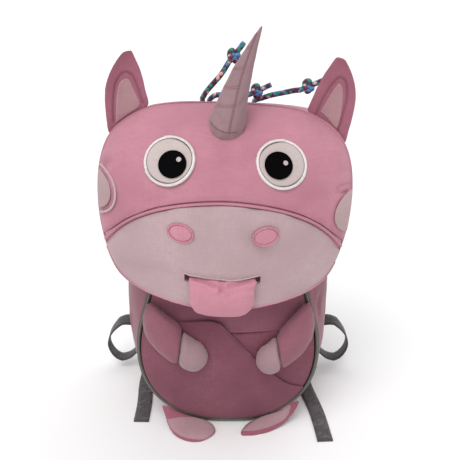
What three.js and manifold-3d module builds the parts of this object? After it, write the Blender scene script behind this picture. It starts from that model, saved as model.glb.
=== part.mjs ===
// A small child's backpack with a unicorn's face: an upright bag with a gathered mouth, under a padded
// flap that is the head. Millimetres, +Z up, the face looks along -Y, and the origin is the middle of
// the flat stretch of cloth that the bag stands on.
import * as THREE from "three";
import Module from "manifold-3d";
import { mergeVertices } from "three/addons/utils/BufferGeometryUtils.js";

const { Vector3 } = THREE;
const wasm = await Module();
wasm.setup();

// Sizes of the bag
const SEAM_HALF_WIDTH = 85; // middle of the bag to its front seam, at the widest place
const BACK_HALF_WIDTH = 105; // middle of the bag to its back seam, at the widest place
const FRONT_HEIGHT = 268; // top of the front panel
const BACK_HEIGHT = 294.2; // top of the back panel
const FRONT_DEPTH = 54; // origin to the front seam, at the bottom
const BACK_DEPTH = 46; // origin to the back seam
const GUSSET_BULGE = 9;
const BELLY_BULGE = 13; // belly in front of the lowest point of its seam
const BACK_BULGE = 11; // padded back behind its seam
const CLOTH = 2.5; // wall of the lined body cloth
const BACK_PADDING = 8;
const SEAM_INSET = 2.6; // edge of a panel to the line of its piped seam
const GAP = 0.3; // clearance between two pieces that touch
const PIPING_RADIUS = 1.9;

// Sizes of the head
const HEAD_HALF_WIDTH = 112;
const HEAD_BOTTOM = 141.7;
const HEAD_TOP = 312.6;
const FACE_CENTRE_UP = 232;
const FACE_DEPTH = 98; // origin to the front of the muzzle
const HEAD_TILT = 2; // degrees, the head hangs askew about the middle of its top edge
const FACE_PADDING = 4;
const CROWN_CLOTH = 3;
const CROWN_GAP = 0.7;
const CROWN_ARCH = 1.4;
const HINGE_DEPTH = 50; // origin to the seam that holds the flap
const MUZZLE_APEX = 247; // top of the muzzle's seam
const MUZZLE_DROP = 51; // apex of that seam to its ends
const MUZZLE_INSET = 1.9;
const MUZZLE_PIPING_RADIUS = 1.3;

// Sizes of the face's pieces
const EYE_RADIUS = 19.4;
const EYE_RIM = 2.3;
const PUPIL_RADIUS = 11.8;
const GLINT_RADIUS = 2.2;
const NOSTRIL_HALF_LENGTH = 9.8;
const NOSTRIL_HALF_WIDTH = 7;
const NOSTRIL_RIM = 1.8;
const APPLIQUE = 0.9; // thickness of a piece sewn on the face
const MOUTH_HALF_WIDTH = 32.5;
const MOUTH_UP = 174.5; // lowest point of the mouth's upper lip
const MOUTH_RISE = 4.5; // lip's lowest point to its corners
const MOUTH_OPENING = 6.2;
const TONGUE_HALF_WIDTH = 29.5;
const TONGUE_BOTTOM = 138.4;
const TONGUE_PADDING = 4.6;
const HORN_LENGTH = 84;
const HORN_RADIUS = 15.6;
const HORN_LEAN = 20.4; // degrees to the side
const HORN_BACK = 13; // degrees backwards
const HORN_BOW = 2.4; // how far its middle bows
const EAR_LENGTH = 57;
const EAR_HALF_WIDTH = 22;
const EAR_PADDING = 6.5;
const EAR_CUP = 6;

// Sizes of the limbs and the webbing
const ARM_PADDING = 22;
const ARM_WIDTH = 39;
const HAND_GAP = 0.4;
const FOOT_LENGTH = 34; // in front of the front seam
const FOOT_PADDING = 7;
const STRAP_WIDTH = 38;
const STRAP_PADDING = 8;
const STRAP_REACH = 30; // how far the straps bow out behind the back panel
const STRAP_LEAN = 0.35; // fall of a strap's width at its lower end, for each unit across
const BUCKLE = { width: 22, thickness: 4 };
const WEBBING = 15;
const WEBBING_THICKNESS = 1.4;
const CORD_DIAMETER = 4.8;
const KNOT_RADIUS = 7.2;
const KNOT_STUB = 8;

const rad = THREE.MathUtils.degToRad;
const lerp = THREE.MathUtils.lerp;
const clamp = THREE.MathUtils.clamp;
const range = (count) => Array.from({ length: count }, (_, index) => index);
const shares = (count) => range(count + 1).map((index) => index / count);

const FINISH = {
  pink: { color: 0xbd8391, roughness: 0.85, metalness: 0 },
  deepPink: { color: 0x8a5866, roughness: 0.85, metalness: 0 },
  pale: { color: 0xb79ba0, roughness: 0.8, metalness: 0 },
  tongue: { color: 0xc88e9b, roughness: 0.8, metalness: 0 },
  white: { color: 0xd5c9c7, roughness: 0.7, metalness: 0 },
  black: { color: 0x0d0d10, roughness: 0.5, metalness: 0 },
  grey: { color: 0x5c5955, roughness: 0.5, metalness: 0.1 },
  webbing: { color: 0x3f393b, roughness: 0.8, metalness: 0 },
  plastic: { color: 0x1b1a1b, roughness: 0.4, metalness: 0 },
  cord: { color: 0x5a2a4c, roughness: 0.7, metalness: 0 },
};

const bag = new THREE.Group();
const head = new THREE.Group();
const tilt = new THREE.Group();
tilt.position.z = HEAD_TOP;
tilt.rotation.y = rad(HEAD_TILT);
head.position.z = -HEAD_TOP;
tilt.add(head);
bag.add(tilt);

/** Adds a named mesh to a group. */
function add(group, name, geometry, finish) {
  const mesh = new THREE.Mesh(geometry, new THREE.MeshStandardMaterial(FINISH[finish]));
  mesh.name = name;
  group.add(mesh);
}

/** A point of the standing bag, in the frame of the tilted head. */
function inHead(point) {
  const pivot = new Vector3(0, 0, HEAD_TOP);
  return point.clone().sub(pivot).applyAxisAngle(new Vector3(0, 1, 0), -rad(HEAD_TILT)).add(pivot);
}

const placeOf = (point) => [point.x, point.y, point.z].map((value) => Math.round(value * 1000)).join();

/** The two triangles of each cell of a grid of points, as corners of the grid. */
function cells(rows, loop) {
  const columns = rows[0].length;
  const made = [];
  for (const i of range(rows.length - 1)) {
    for (const j of range(loop ? columns : columns - 1)) {
      const k = (j + 1) % columns;
      made.push([[i, j], [i, k], [i + 1, k]], [[i, j], [i + 1, k], [i + 1, j]]);
    }
  }
  return made;
}

/** The outward direction at each point of a grid, averaged over the cells that share the point. */
function normalsOf(rows, loop) {
  const sums = new Map();
  for (const cell of cells(rows, loop)) {
    const [a, b, c] = cell.map(([i, j]) => rows[i][j]);
    const area = new Vector3().crossVectors(b.clone().sub(a), c.clone().sub(a));
    for (const point of [a, b, c]) {
      const place = placeOf(point);
      sums.set(place, (sums.get(place) ?? new Vector3()).add(area));
    }
  }
  return rows.map((row) => row.map((point) => sums.get(placeOf(point)).clone().normalize()));
}

/** A grid moved along its own outward directions. */
function moved(rows, distance, loop) {
  const normals = normalsOf(rows, loop);
  return rows.map((row, i) => row.map((p, j) => p.clone().addScaledVector(normals[i][j], distance)));
}

/** One closed body from triangles of points: equal points become one, and faces without area go. */
function body(triangles) {
  const index = new Map();
  const positions = [];
  const faces = [];
  for (const triangle of triangles) {
    const corners = triangle.map((point) => {
      const place = placeOf(point);
      if (!index.has(place)) {
        index.set(place, index.size);
        positions.push(point.x, point.y, point.z);
      }
      return index.get(place);
    });
    if (new Set(corners).size === 3) faces.push(corners);
  }
  const at = (corner) => new Vector3().fromArray(positions, corner * 3);
  const volume = faces.reduce((sum, [a, b, c]) => sum + at(a).dot(at(b).cross(at(c))), 0);
  if (volume < 0) faces.forEach((face) => face.reverse());
  const geometry = new THREE.BufferGeometry();
  geometry.setAttribute("position", new THREE.Float32BufferAttribute(positions, 3));
  geometry.setIndex(faces.flat());
  geometry.computeVertexNormals();
  return geometry;
}

/** A closed wall between an outer grid and an inner grid of the same size. */
function wall(outer, inner, loop = false) {
  const last = outer.length - 1;
  const end = outer[0].length - 1;
  const triangles = [];
  for (const cell of cells(outer, loop)) {
    triangles.push(cell.map(([i, j]) => outer[i][j]));
    triangles.push(cell.map(([i, j]) => inner[i][j]).reverse());
  }
  const strip = (edgeOut, edgeIn) => {
    for (const cell of cells([edgeOut, edgeIn], loop)) {
      triangles.push(cell.map(([i, j]) => [edgeOut, edgeIn][i][j]).reverse());
    }
  };
  strip(outer[0], inner[0]);
  strip([...outer[last]].reverse(), [...inner[last]].reverse());
  if (!loop) {
    strip(outer.map((row) => row[0]).reverse(), inner.map((row) => row[0]).reverse());
    strip(outer.map((row) => row[end]), inner.map((row) => row[end]));
  }
  return body(triangles);
}

/** A closed body round a stack of rings, with a middle point closing each end. */
function stuffed(rings) {
  const middle = (ring) => {
    const centre = ring.reduce((sum, point) => sum.add(point), new Vector3()).divideScalar(ring.length);
    return ring.map(() => centre);
  };
  const rows = [middle(rings[0]), ...rings, middle(rings[rings.length - 1])];
  return body(cells(rows, true).map((cell) => cell.map(([i, j]) => rows[i][j])));
}

/** A piece sewn over a surface: a grid of places on it, lifted by a gap and given a thickness. */
function sewnOn(surface, places, { gap = GAP, thickness = APPLIQUE, loop = false }) {
  const rows = places.map((row) => row.map(([a, b]) => surface(a, b)));
  return wall(moved(rows, gap + thickness, loop), moved(rows, gap, loop), loop);
}

/** A round tube along a curve. */
function tube(curve, radius, steps, sides) {
  const section = range(sides).map((side) => {
    const angle = (2 * Math.PI * side) / sides;
    return new THREE.Vector2(radius * Math.cos(angle), radius * Math.sin(angle));
  });
  const shape = new THREE.Shape(section);
  const made = new THREE.ExtrudeGeometry(shape, { steps, extrudePath: curve, bevelEnabled: false });
  made.deleteAttribute("normal");
  made.deleteAttribute("uv");
  return made;
}

/** A smooth curve through rows of a table, as numbers read at a share of its length. */
function smooth(table, names) {
  const last = table.length - 1;
  return (share) => {
    const at = clamp(share, 0, 1) * last;
    const i = Math.min(Math.floor(at), last - 1);
    const t = at - i;
    return names.map((name) => {
      const value = (k) => table[clamp(k, 0, last)][name];
      const [a, b, c, d] = [value(i - 1), value(i), value(i + 1), value(i + 2)];
      return b + 0.5 * t * (c - a + t * (2 * a - 5 * b + 4 * c - d + t * (3 * (b - c) + d - a)));
    });
  };
}

/** A band of webbing or padding along a table of stations: centre, width direction and sizes. */
function band(stations, steps, { width, thickness, rounded = false }) {
  const names = ["x", "y", "z", "wideX", "wideY", "wideZ"];
  const along = smooth(stations, names);
  const share = (k) => clamp(k / steps, 0, 1);
  const centre = (k) => {
    const [x, y, z] = along(share(k));
    return new Vector3(x, y, Math.max(z, thickness / 2));
  };
  const section = rounded
    ? [[-0.5, 0], [-0.42, 0.36], [0, 0.5], [0.42, 0.36], [0.5, 0], [0.42, -0.36], [0, -0.5], [-0.42, -0.36]]
    : [[-0.5, 0.5], [0.5, 0.5], [0.5, -0.5], [-0.5, -0.5]];
  const rings = range(steps + 1).map((k) => {
    const forward = centre(k + 0.5).sub(centre(k - 0.5)).normalize();
    const wide = new Vector3(...along(share(k)).slice(3));
    wide.addScaledVector(forward, -wide.dot(forward)).normalize();
    const thick = new Vector3().crossVectors(forward, wide);
    const across = typeof width === "function" ? width(k / steps) : width;
    return section.map(([a, b]) =>
      centre(k).addScaledVector(wide, a * across).addScaledVector(thick, b * thickness),
    );
  });
  return stuffed(rings);
}

/** A domed panel inside a closed rim: the rim's table runs from its bottom, anticlockwise in front. */
function dome(rim, centre) {
  const DOME_SAMPLES = 180;
  const curve = new THREE.CatmullRomCurve3(
    rim.map(({ x, y, z }) => new Vector3(x, y, z)), true, "centripetal",
  );
  const rollAt = (share) => {
    const at = (((share % 1) + 1) % 1) * rim.length;
    const i = Math.floor(at) % rim.length;
    return lerp(rim[i].roll ?? 0, rim[(i + 1) % rim.length].roll ?? 0, at - Math.floor(at));
  };
  const rimAt = (share) => curve.getPoint(((share % 1) + 1) % 1);
  const profile = (q, roll) => (1 - roll) * q * q + roll * (1 - Math.sqrt(Math.max(0, 1 - q * q)));
  const turnOf = (x, z) => {
    const turn = Math.atan2(z - centre.z, x - centre.x) + Math.PI / 2;
    return (turn + 2 * Math.PI) % (2 * Math.PI);
  };
  const samples = range(DOME_SAMPLES).map((index) => {
    const share = index / DOME_SAMPLES;
    const point = rimAt(share);
    return { share, turn: index ? turnOf(point.x, point.z) : 0 };
  });
  samples.push({ share: 1, turn: 2 * Math.PI });
  const shareAt = (x, z) => {
    const turn = turnOf(x, z);
    const next = Math.max(1, samples.findIndex((sample) => sample.turn >= turn));
    const [a, b] = [samples[next - 1], samples[next]];
    return lerp(a.share, b.share, (turn - a.turn) / (b.turn - a.turn));
  };
  const reach = (x, z) => {
    const edge = rimAt(shareAt(x, z));
    return Math.hypot(x - centre.x, z - centre.z) / Math.hypot(edge.x - centre.x, edge.z - centre.z);
  };
  const onDome = (x, z) => {
    const share = shareAt(x, z);
    const edge = rimAt(share);
    const q = Math.min(1, reach(x, z));
    return new Vector3(x, lerp(centre.y, edge.y, profile(q, rollAt(share))), z);
  };
  /** The direction out of the rim in the plane of the front. */
  const outOf = (share) => {
    const along = rimAt(share + 0.002).sub(rimAt(share - 0.002));
    return new Vector3(along.z, 0, -along.x).normalize();
  };
  /** A place a given distance inside the rim, at a share of the way out to it. */
  const inside = (share, out, inset) => {
    const edge = rimAt(share).addScaledVector(outOf(share), -inset);
    return onDome(lerp(centre.x, edge.x, out), lerp(centre.z, edge.z, out));
  };
  return { rimAt, onDome, inside, reach, outOf };
}

/** Both halves of a rim from the table of its right half, whose first and last rows are on the middle. */
function mirroredRim(half) {
  const left = half.slice(1, -1).reverse().map((row) => ({ ...row, x: -row.x }));
  return [...half, ...left];
}

// Front and back seams, from the bottom up: across as a share of their half widths, up as a share of
// their heights, and the depth of the front seam as a share of its depth at the bottom.
const SEAMS = [
  { frontAcross: 0, frontUp: 0.015, frontDepth: 1, backAcross: 0, backUp: 0.014 },
  { frontAcross: 0.29, frontUp: 0.02, frontDepth: 1, backAcross: 0.26, backUp: 0.017 },
  { frontAcross: 0.52, frontUp: 0.043, frontDepth: 0.99, backAcross: 0.48, backUp: 0.03 },
  { frontAcross: 0.73, frontUp: 0.088, frontDepth: 0.98, backAcross: 0.66, backUp: 0.062 },
  { frontAcross: 0.885, frontUp: 0.15, frontDepth: 0.97, backAcross: 0.79, backUp: 0.11 },
  { frontAcross: 0.97, frontUp: 0.22, frontDepth: 0.955, backAcross: 0.86, backUp: 0.172 },
  { frontAcross: 1, frontUp: 0.3, frontDepth: 0.94, backAcross: 0.905, backUp: 0.262 },
  { frontAcross: 0.965, frontUp: 0.403, frontDepth: 0.93, backAcross: 0.955, backUp: 0.372 },
  { frontAcross: 0.86, frontUp: 0.515, frontDepth: 0.92, backAcross: 0.99, backUp: 0.476 },
  { frontAcross: 0.775, frontUp: 0.672, frontDepth: 0.89, backAcross: 1, backUp: 0.62 },
  { frontAcross: 0.735, frontUp: 0.84, frontDepth: 0.85, backAcross: 0.975, backUp: 0.793 },
  { frontAcross: 0.71, frontUp: 0.95, frontDepth: 0.825, backAcross: 0.9, backUp: 0.915 },
  { frontAcross: 0.7, frontUp: 1, frontDepth: 0.81, backAcross: 0.8, backUp: 0.965 },
];
const frontSeam = SEAMS.map((row) => ({
  x: row.frontAcross * SEAM_HALF_WIDTH,
  y: -row.frontDepth * FRONT_DEPTH,
  z: row.frontUp * FRONT_HEIGHT,
}));
const backSeam = SEAMS.map((row) => ({
  x: row.backAcross * BACK_HALF_WIDTH,
  y: BACK_DEPTH,
  z: row.backUp * BACK_HEIGHT,
}));
const topOfSeam = frontSeam[frontSeam.length - 1];
const frontTop = [0.45, 0].map((x) => ({ x: x * SEAM_HALF_WIDTH, y: topOfSeam.y, z: FRONT_HEIGHT }));
const BACK_TOP = [{ across: 0.63, up: 0.993 }, { across: 0, up: 1 }];
const backTop = BACK_TOP.map(({ across, up }) => ({
  x: across * BACK_HALF_WIDTH, y: BACK_DEPTH, z: up * BACK_HEIGHT,
}));
const belly = dome(mirroredRim([...frontSeam, ...frontTop]), {
  x: 0, y: -(FRONT_DEPTH + BELLY_BULGE), z: 0.42 * FRONT_HEIGHT,
});
const back = dome(mirroredRim([...backSeam, ...backTop]), {
  x: 0, y: BACK_DEPTH + BACK_BULGE, z: 0.5 * BACK_HEIGHT,
});
const SEAM_ROWS = 2 * (SEAMS.length + 1); // rows in each panel's whole rim
const SEAM_END = (SEAMS.length - 1) / SEAM_ROWS; // share of the rim at the right end of the seam

/** A closed panel inside a dome's rim. */
function panel(surface, thickness, inset, rings, sectors) {
  const rows = shares(rings).map((out) =>
    range(sectors).map((sector) => surface.inside(sector / sectors, out, inset)),
  );
  const outer = surface === back ? rows : rows.map((row) => [...row].reverse());
  return wall(outer, moved(outer, -thickness, true), true);
}

/** The gusset between the seams: share runs along them from top left to top right. */
function gussetAt(share, across) {
  const along = lerp(-SEAM_END, SEAM_END, share);
  const front = belly.rimAt(along);
  const rear = back.rimAt(along);
  const point = front.clone().lerp(rear, across);
  const centre = new Vector3(0, point.y, 0.42 * FRONT_HEIGHT);
  const outwards = point.clone().sub(centre);
  outwards.z = Math.min(0, outwards.z);
  outwards.normalize();
  point.addScaledVector(outwards, GUSSET_BULGE * Math.sin(Math.PI * across));
  point.z = Math.max(0, point.z);
  return point;
}

function sideGusset() {
  const inset = SEAM_INSET / (FRONT_DEPTH + BACK_DEPTH);
  const rows = shares(4).map((across) =>
    shares(26).map((share) => gussetAt(1 - share, lerp(inset, 1 - inset, across))),
  );
  return wall(rows, moved(rows, -CLOTH));
}

/** The gathered mouth of the bag: from inside the top edges in to a small ruffled opening. */
function collar() {
  const SIDE_STEPS = 7;
  const TUCK = 4;
  const MARGIN = 0.35; // from the walls that the collar is sewn into
  const OPENING = 27;
  const RUFFLE = 2.6;
  const steps = range(SIDE_STEPS).map((i) => i / SIDE_STEPS);
  const frontClear = topOfSeam.y + CLOTH + MARGIN;
  const backClear = BACK_DEPTH - BACK_PADDING - MARGIN;
  const topEdge = [
    ...steps.map((share) => belly.rimAt(lerp(1 - SEAM_END, SEAM_END, share))),
    ...steps.map((share) => gussetAt(1, share)),
    ...steps.map((share) => back.rimAt(lerp(SEAM_END, 1 - SEAM_END, share))),
    ...steps.map((share) => gussetAt(0, 1 - share)),
  ];
  const tucked = topEdge.map(({ x, y, z }) => {
    const clear = Math.max(0, Math.abs(x) - CLOTH - MARGIN);
    return new Vector3(Math.sign(x) * clear, clamp(y, frontClear, backClear), z - TUCK / 2);
  });
  const sections = [
    { inwards: 0, up: -2 * TUCK, ruffle: 0 },
    { inwards: 0.02, up: -0.4 * TUCK, ruffle: 0 },
    { inwards: 0.45, up: 0.3 * TUCK, ruffle: 0.5 },
    { inwards: 0.9, up: 0.3 * TUCK, ruffle: 1 },
    { inwards: 1, up: 1.2 * TUCK, ruffle: 1.3 },
  ];
  const rows = sections.map(({ inwards, up, ruffle }) =>
    tucked.map((edge, i) => {
      const reach = Math.hypot(edge.x, edge.y);
      const level = FRONT_HEIGHT + 0.4 * (edge.z - FRONT_HEIGHT);
      const wave = (i % 2 ? 1 : -1) * ruffle * RUFFLE;
      const radius = lerp(reach, OPENING, inwards) + wave * 0.5;
      const height = lerp(edge.z, level, inwards) + up + wave * 0.3;
      return new Vector3((edge.x / reach) * radius, (edge.y / reach) * radius, height);
    }),
  );
  return wall(rows, moved(rows, -0.6 * CLOTH, true), true);
}

/** The part of a piped seam below the top edges, as a curve. */
function seamCurve(surface) {
  const points = shares(48).map((share) => surface.rimAt(lerp(-SEAM_END, SEAM_END, share)));
  return new THREE.CatmullRomCurve3(points);
}

/** Rows of places between two curves in the plane of the front, from the lower one to the upper one. */
function between(lower, upper, columns, rows) {
  return shares(rows).map((up) =>
    shares(columns).map((share) => {
      const [a, b] = [lower(share), upper(share)];
      return [lerp(a[0], b[0], up), lerp(a[1], b[1], up)];
    }),
  );
}

/** The wrapped pockets on the belly: an under one at the right, and one that crosses over it. */
function pockets() {
  const HEM_UP = 109;
  const POCKET = 1.3;
  const TUCK = 5; // how far the under pocket runs on beneath the other's edge
  const MARGIN = PIPING_RADIUS + 1.3;
  const edgeAt = (share) => {
    const point = belly.inside(share, 1, MARGIN);
    return [point.x, point.z];
  };
  const OVER = [
    { x: -0.975, z: 1.08 }, { x: -0.62, z: 1.075 }, { x: -0.4, z: 1.1 }, { x: -0.125, z: 1.12 },
    { x: 0.02, z: 0.99 }, { x: 0.2, z: 0.83 }, { x: 0.45, z: 0.62 }, { x: 0.7, z: 0.42 },
  ];
  const rightEnd = 4.05 / SEAM_ROWS;
  const leftEnd = 1 - 7.33 / SEAM_ROWS;
  const top = smooth(OVER, ["x", "z"]);
  const overTop = (share) => {
    const [x, z] = top(share);
    return [x * SEAM_HALF_WIDTH, z * HEM_UP];
  };
  const blend = (share) => Math.min(1, 14 * Math.min(share, 1 - share));
  const ends = (upper, lower) => (share) => {
    const [a, b] = [upper(share), lower(share)];
    const keep = blend(share);
    return [lerp(b[0], a[0], keep), lerp(b[1], a[1], keep)];
  };
  const overBottom = (share) => edgeAt(lerp(leftEnd, 1 + rightEnd, share));
  const over = between(overBottom, ends(overTop, overBottom), 18, 5);
  const underRight = 7.07 / SEAM_ROWS;
  const underBottom = (share) => edgeAt(lerp(rightEnd - 0.3 / SEAM_ROWS, underRight, share));
  const underTop = (share) => {
    const corner = edgeAt(underRight);
    const [x, z] = overTop(lerp(0.62, 0.46, clamp(share * 2.5, 0, 1)));
    const [left, low] = [x - TUCK, z - TUCK];
    const t = clamp((share - 0.4) / 0.6, 0, 1);
    return share < 0.4 ? [left, low] : [lerp(left, corner[0], t), lerp(HEM_UP - 1, corner[1], t)];
  };
  return { over, underBottom, underTop, thickness: POCKET };
}

// The head's rim: across, up and depth as shares of its sizes, how far the padded edge rolls round,
// and, from the cheeks up, the back edge of the crown: its own across, up and depth.
const RIM = [
  { across: 0, up: 0, depth: 0.878, roll: 0 },
  { across: 0.286, up: 0.02, depth: 0.857, roll: 0 },
  { across: 0.496, up: 0.049, depth: 0.806, roll: 0 },
  { across: 0.679, up: 0.085, depth: 0.735, roll: 0.05 },
  { across: 0.821, up: 0.139, depth: 0.653, roll: 0.2, backAcross: 0.812, backUp: 0.143, backDepth: 0.63 },
  { across: 0.893, up: 0.224, depth: 0.622, roll: 0.4, backAcross: 0.875, backUp: 0.235, backDepth: 0.52 },
  { across: 0.942, up: 0.318, depth: 0.592, roll: 0.6, backAcross: 0.915, backUp: 0.335, backDepth: 0.42 },
  { across: 0.982, up: 0.435, depth: 0.546, roll: 0.65, backAcross: 0.945, backUp: 0.455, backDepth: 0.3 },
  { across: 1, up: 0.575, depth: 0.495, roll: 0.65, backAcross: 0.955, backUp: 0.575, backDepth: 0.15 },
  { across: 0.987, up: 0.716, depth: 0.408, roll: 0.65, backAcross: 0.94, backUp: 0.7, backDepth: -0.06 },
  { across: 0.92, up: 0.84, depth: 0.327, roll: 0.65, backAcross: 0.89, backUp: 0.8, backDepth: -0.28 },
  { across: 0.777, up: 0.917, depth: 0.276, roll: 0.65, backAcross: 0.76, backUp: 0.862, backDepth: -0.46 },
  { across: 0.598, up: 0.975, depth: 0.235, roll: 0.65, backAcross: 0.59, backUp: 0.879, backDepth: -0.51 },
  { across: 0.411, up: 0.992, depth: 0.204, roll: 0.65, backAcross: 0.41, backUp: 0.885, backDepth: -0.51 },
  { across: 0, up: 1, depth: 0.184, roll: 0.65, backAcross: 0, backUp: 0.887, backDepth: -0.51 },
];
const RIM_ROWS = 2 * (RIM.length - 1);
const CORNER_ROW = 4; // the first row with a back edge, at the lower end of the cheeks
const CROWN_ROW = 4.7; // where the crown runs out, clear of the muzzle's corner
const SEAM_ROW = 6; // where the muzzle's seam meets the rim
const face = dome(
  mirroredRim(RIM.map((row) => ({
    x: row.across * HEAD_HALF_WIDTH,
    y: -row.depth * FACE_DEPTH,
    z: lerp(HEAD_BOTTOM, HEAD_TOP, row.up),
    roll: row.roll,
  }))),
  { x: 0, y: -FACE_DEPTH, z: FACE_CENTRE_UP },
);

/** The muzzle's seam: a place at a share of its length, moved up or down across its own direction. */
function muzzleSeam(share, offset = 0) {
  const end = face.rimAt(SEAM_ROW / RIM_ROWS);
  const q = 2 * share - 1;
  const slope = (-MUZZLE_DROP * (1.32 * q + 2.04 * q ** 5)) / end.x;
  const up = MUZZLE_APEX - MUZZLE_DROP * (0.66 * q * q + 0.34 * q ** 6);
  return [end.x * q, up + offset * Math.hypot(1, slope)];
}

/** A part of the face between the muzzle's seam and the rim: side is 1 above it and -1 below it. */
function facePart(side) {
  const SHIFT = 0.22; // rows of the rim that the piping takes up
  const COLUMNS = 22;
  const right = (SEAM_ROW + side * SHIFT) / RIM_ROWS;
  const left = side > 0 ? 1 - right : -right;
  const rimPlace = (share) => {
    const point = face.rimAt(lerp(left, right, share));
    return [point.x, point.z];
  };
  const seamPlace = (share) =>
    share === 0 || share === 1 ? rimPlace(share) : muzzleSeam(share, side * MUZZLE_INSET);
  const places = side > 0
    ? between(seamPlace, rimPlace, COLUMNS, 6)
    : between(rimPlace, seamPlace, COLUMNS, 5);
  const outer = places.map((row) => row.map(([x, z]) => face.onDome(x, z)));
  const inner = moved(outer, -FACE_PADDING);
  const rimRow = side > 0 ? outer.length - 1 : 0;
  const middle = new Vector3(0, 0, FACE_CENTRE_UP);
  outer[rimRow].forEach((point, j) => {
    const inwards = middle.clone().sub(point);
    inwards.y = 0;
    inner[rimRow][j] = point.clone().addScaledVector(inwards.normalize(), FACE_PADDING);
  });
  for (const j of [0, COLUMNS]) inner.forEach((row) => (row[j] = inner[rimRow][j]));
  return { outer, inner };
}

/** A closed geometry as a solid that can be cut. */
function solid(geometry) {
  const bare = geometry.index ? geometry.clone() : geometry;
  bare.deleteAttribute("normal");
  bare.deleteAttribute("uv");
  const merged = mergeVertices(bare, 1e-3);
  const vertProperties = merged.attributes.position.array;
  const triVerts = new Uint32Array(merged.index.array);
  return new wasm.Manifold(new wasm.Mesh({ numProp: 3, vertProperties, triVerts }));
}

/** One solid less another, as a geometry. */
function less(whole, cut) {
  const mesh = solid(whole).subtract(solid(cut)).getMesh();
  const geometry = new THREE.BufferGeometry();
  geometry.setAttribute("position", new THREE.Float32BufferAttribute(mesh.vertProperties, 3));
  geometry.setIndex([...mesh.triVerts]);
  geometry.computeVertexNormals();
  return geometry;
}

/** A piece cut off where it would sink into a skin of the head, a small gap above that skin. */
function seated(piece, skins) {
  const SLAB = 16;
  return skins.reduce((kept, skin) => less(kept, wall(moved(skin, 1.5 * GAP), moved(skin, -SLAB))), piece);
}

const lipUp = (x) => MOUTH_UP + MOUTH_RISE * (x / MOUTH_HALF_WIDTH) ** 2;

/** The prism that cuts the mouth's slot through the muzzle. */
function mouthCut() {
  const row = (y, up) =>
    shares(8).map((share) => {
      const x = lerp(-MOUTH_HALF_WIDTH, MOUTH_HALF_WIDTH, share);
      return new Vector3(x, y, lipUp(x) + up);
    });
  const AHEAD = 20;
  const BEHIND = 30;
  const depths = [-FACE_DEPTH - AHEAD, -FACE_DEPTH + BEHIND];
  return wall(depths.map((y) => row(y, 0.6)), depths.map((y) => row(y, -MOUTH_OPENING)));
}

function crown() {
  const COLUMNS = 28;
  const backEdge = RIM.slice(CORNER_ROW).map((row) => {
    const point = new Vector3(
      row.backAcross * HEAD_HALF_WIDTH,
      -row.backDepth * FACE_DEPTH,
      lerp(HEAD_BOTTOM, HEAD_TOP, row.backUp),
    );
    return { x: point.x, y: point.y, z: point.z };
  });
  const rightAt = smooth(backEdge, ["x", "y", "z"]);
  const held = (share) => {
    const side = share < 0.5 ? -1 : 1;
    const start = (CROWN_ROW - CORNER_ROW) / (backEdge.length - 1);
    const [x, y, z] = rightAt(lerp(1, start, Math.abs(2 * share - 1)));
    const point = new Vector3(side * x, y, z);
    const hold = clamp((y + 20) / HINGE_DEPTH, 0, 1);
    return point.clone().lerp(inHead(point), hold);
  };
  const rows = shares(3).map((depth) =>
    shares(COLUMNS).map((share) => {
      const along = lerp(1 - CROWN_ROW / RIM_ROWS, CROWN_ROW / RIM_ROWS, share);
      const rim = face.rimAt(along);
      rim.y += CROWN_GAP;
      const point = rim.clone().lerp(held(share), depth);
      const outwards = new Vector3(point.x, 0, point.z - FACE_CENTRE_UP).normalize();
      return point.addScaledVector(outwards, CROWN_ARCH * Math.sin(Math.PI * depth));
    }),
  );
  const inner = moved(rows, -CROWN_CLOTH);
  const middle = new Vector3(0, 0, FACE_CENTRE_UP);
  rows[0].forEach((point, j) => {
    const inwards = middle.clone().sub(point);
    inwards.y = 0;
    inner[0][j] = point.clone().addScaledVector(inwards.normalize(), CROWN_CLOTH);
  });
  return { rows, inner };
}

/** A disc or ring of places round a middle, on a tangent plane dropped onto the face. */
function roundPlaces(centre, inner, outer, { rings, sectors, turn = 0 }) {
  return shares(rings).map((out) =>
    range(sectors).map((sector) => {
      const angle = (-2 * Math.PI * sector) / sectors;
      const a = lerp(inner[0], outer[0], out) * Math.cos(angle);
      const b = lerp(inner[1], outer[1], out) * Math.sin(angle);
      const across = a * Math.cos(turn) - b * Math.sin(turn);
      const up = a * Math.sin(turn) + b * Math.cos(turn);
      return onTangent(centre, across, up);
    }),
  );
}

/** The outward direction of the face at a place. */
function faceNormal(x, z) {
  const STEP = 0.5;
  const acrossFace = face.onDome(x + STEP, z).sub(face.onDome(x - STEP, z));
  const upFace = face.onDome(x, z + STEP).sub(face.onDome(x, z - STEP));
  return new Vector3().crossVectors(acrossFace, upFace).normalize();
}

/** The place on the face under a point of the tangent plane at a centre. */
function onTangent([x, z], across, up) {
  const origin = face.onDome(x, z);
  const normal = faceNormal(x, z);
  const right = new Vector3(1, 0, 0).addScaledVector(normal, -normal.x).normalize();
  const above = new Vector3().crossVectors(right, normal).negate();
  if (above.z < 0) above.negate();
  const point = origin.clone().addScaledVector(right, across).addScaledVector(above, up);
  const STEPS = 6;
  const STEEPEST = 0.3;
  range(STEPS).forEach(() => {
    const under = face.onDome(point.x, point.z);
    const slope = faceNormal(point.x, point.z);
    const off = (under.y - point.y) * slope.y;
    point.addScaledVector(normal, off / Math.max(STEEPEST, normal.dot(slope)));
  });
  return [point.x, point.z];
}

const onFace = (x, z) => face.onDome(x, z);

/** A place on the face, as shares of the head's half width and of its height over the face's middle. */
function headPlace(across, up) {
  return [across * HEAD_HALF_WIDTH, lerp(FACE_CENTRE_UP, HEAD_TOP, up)];
}

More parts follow.
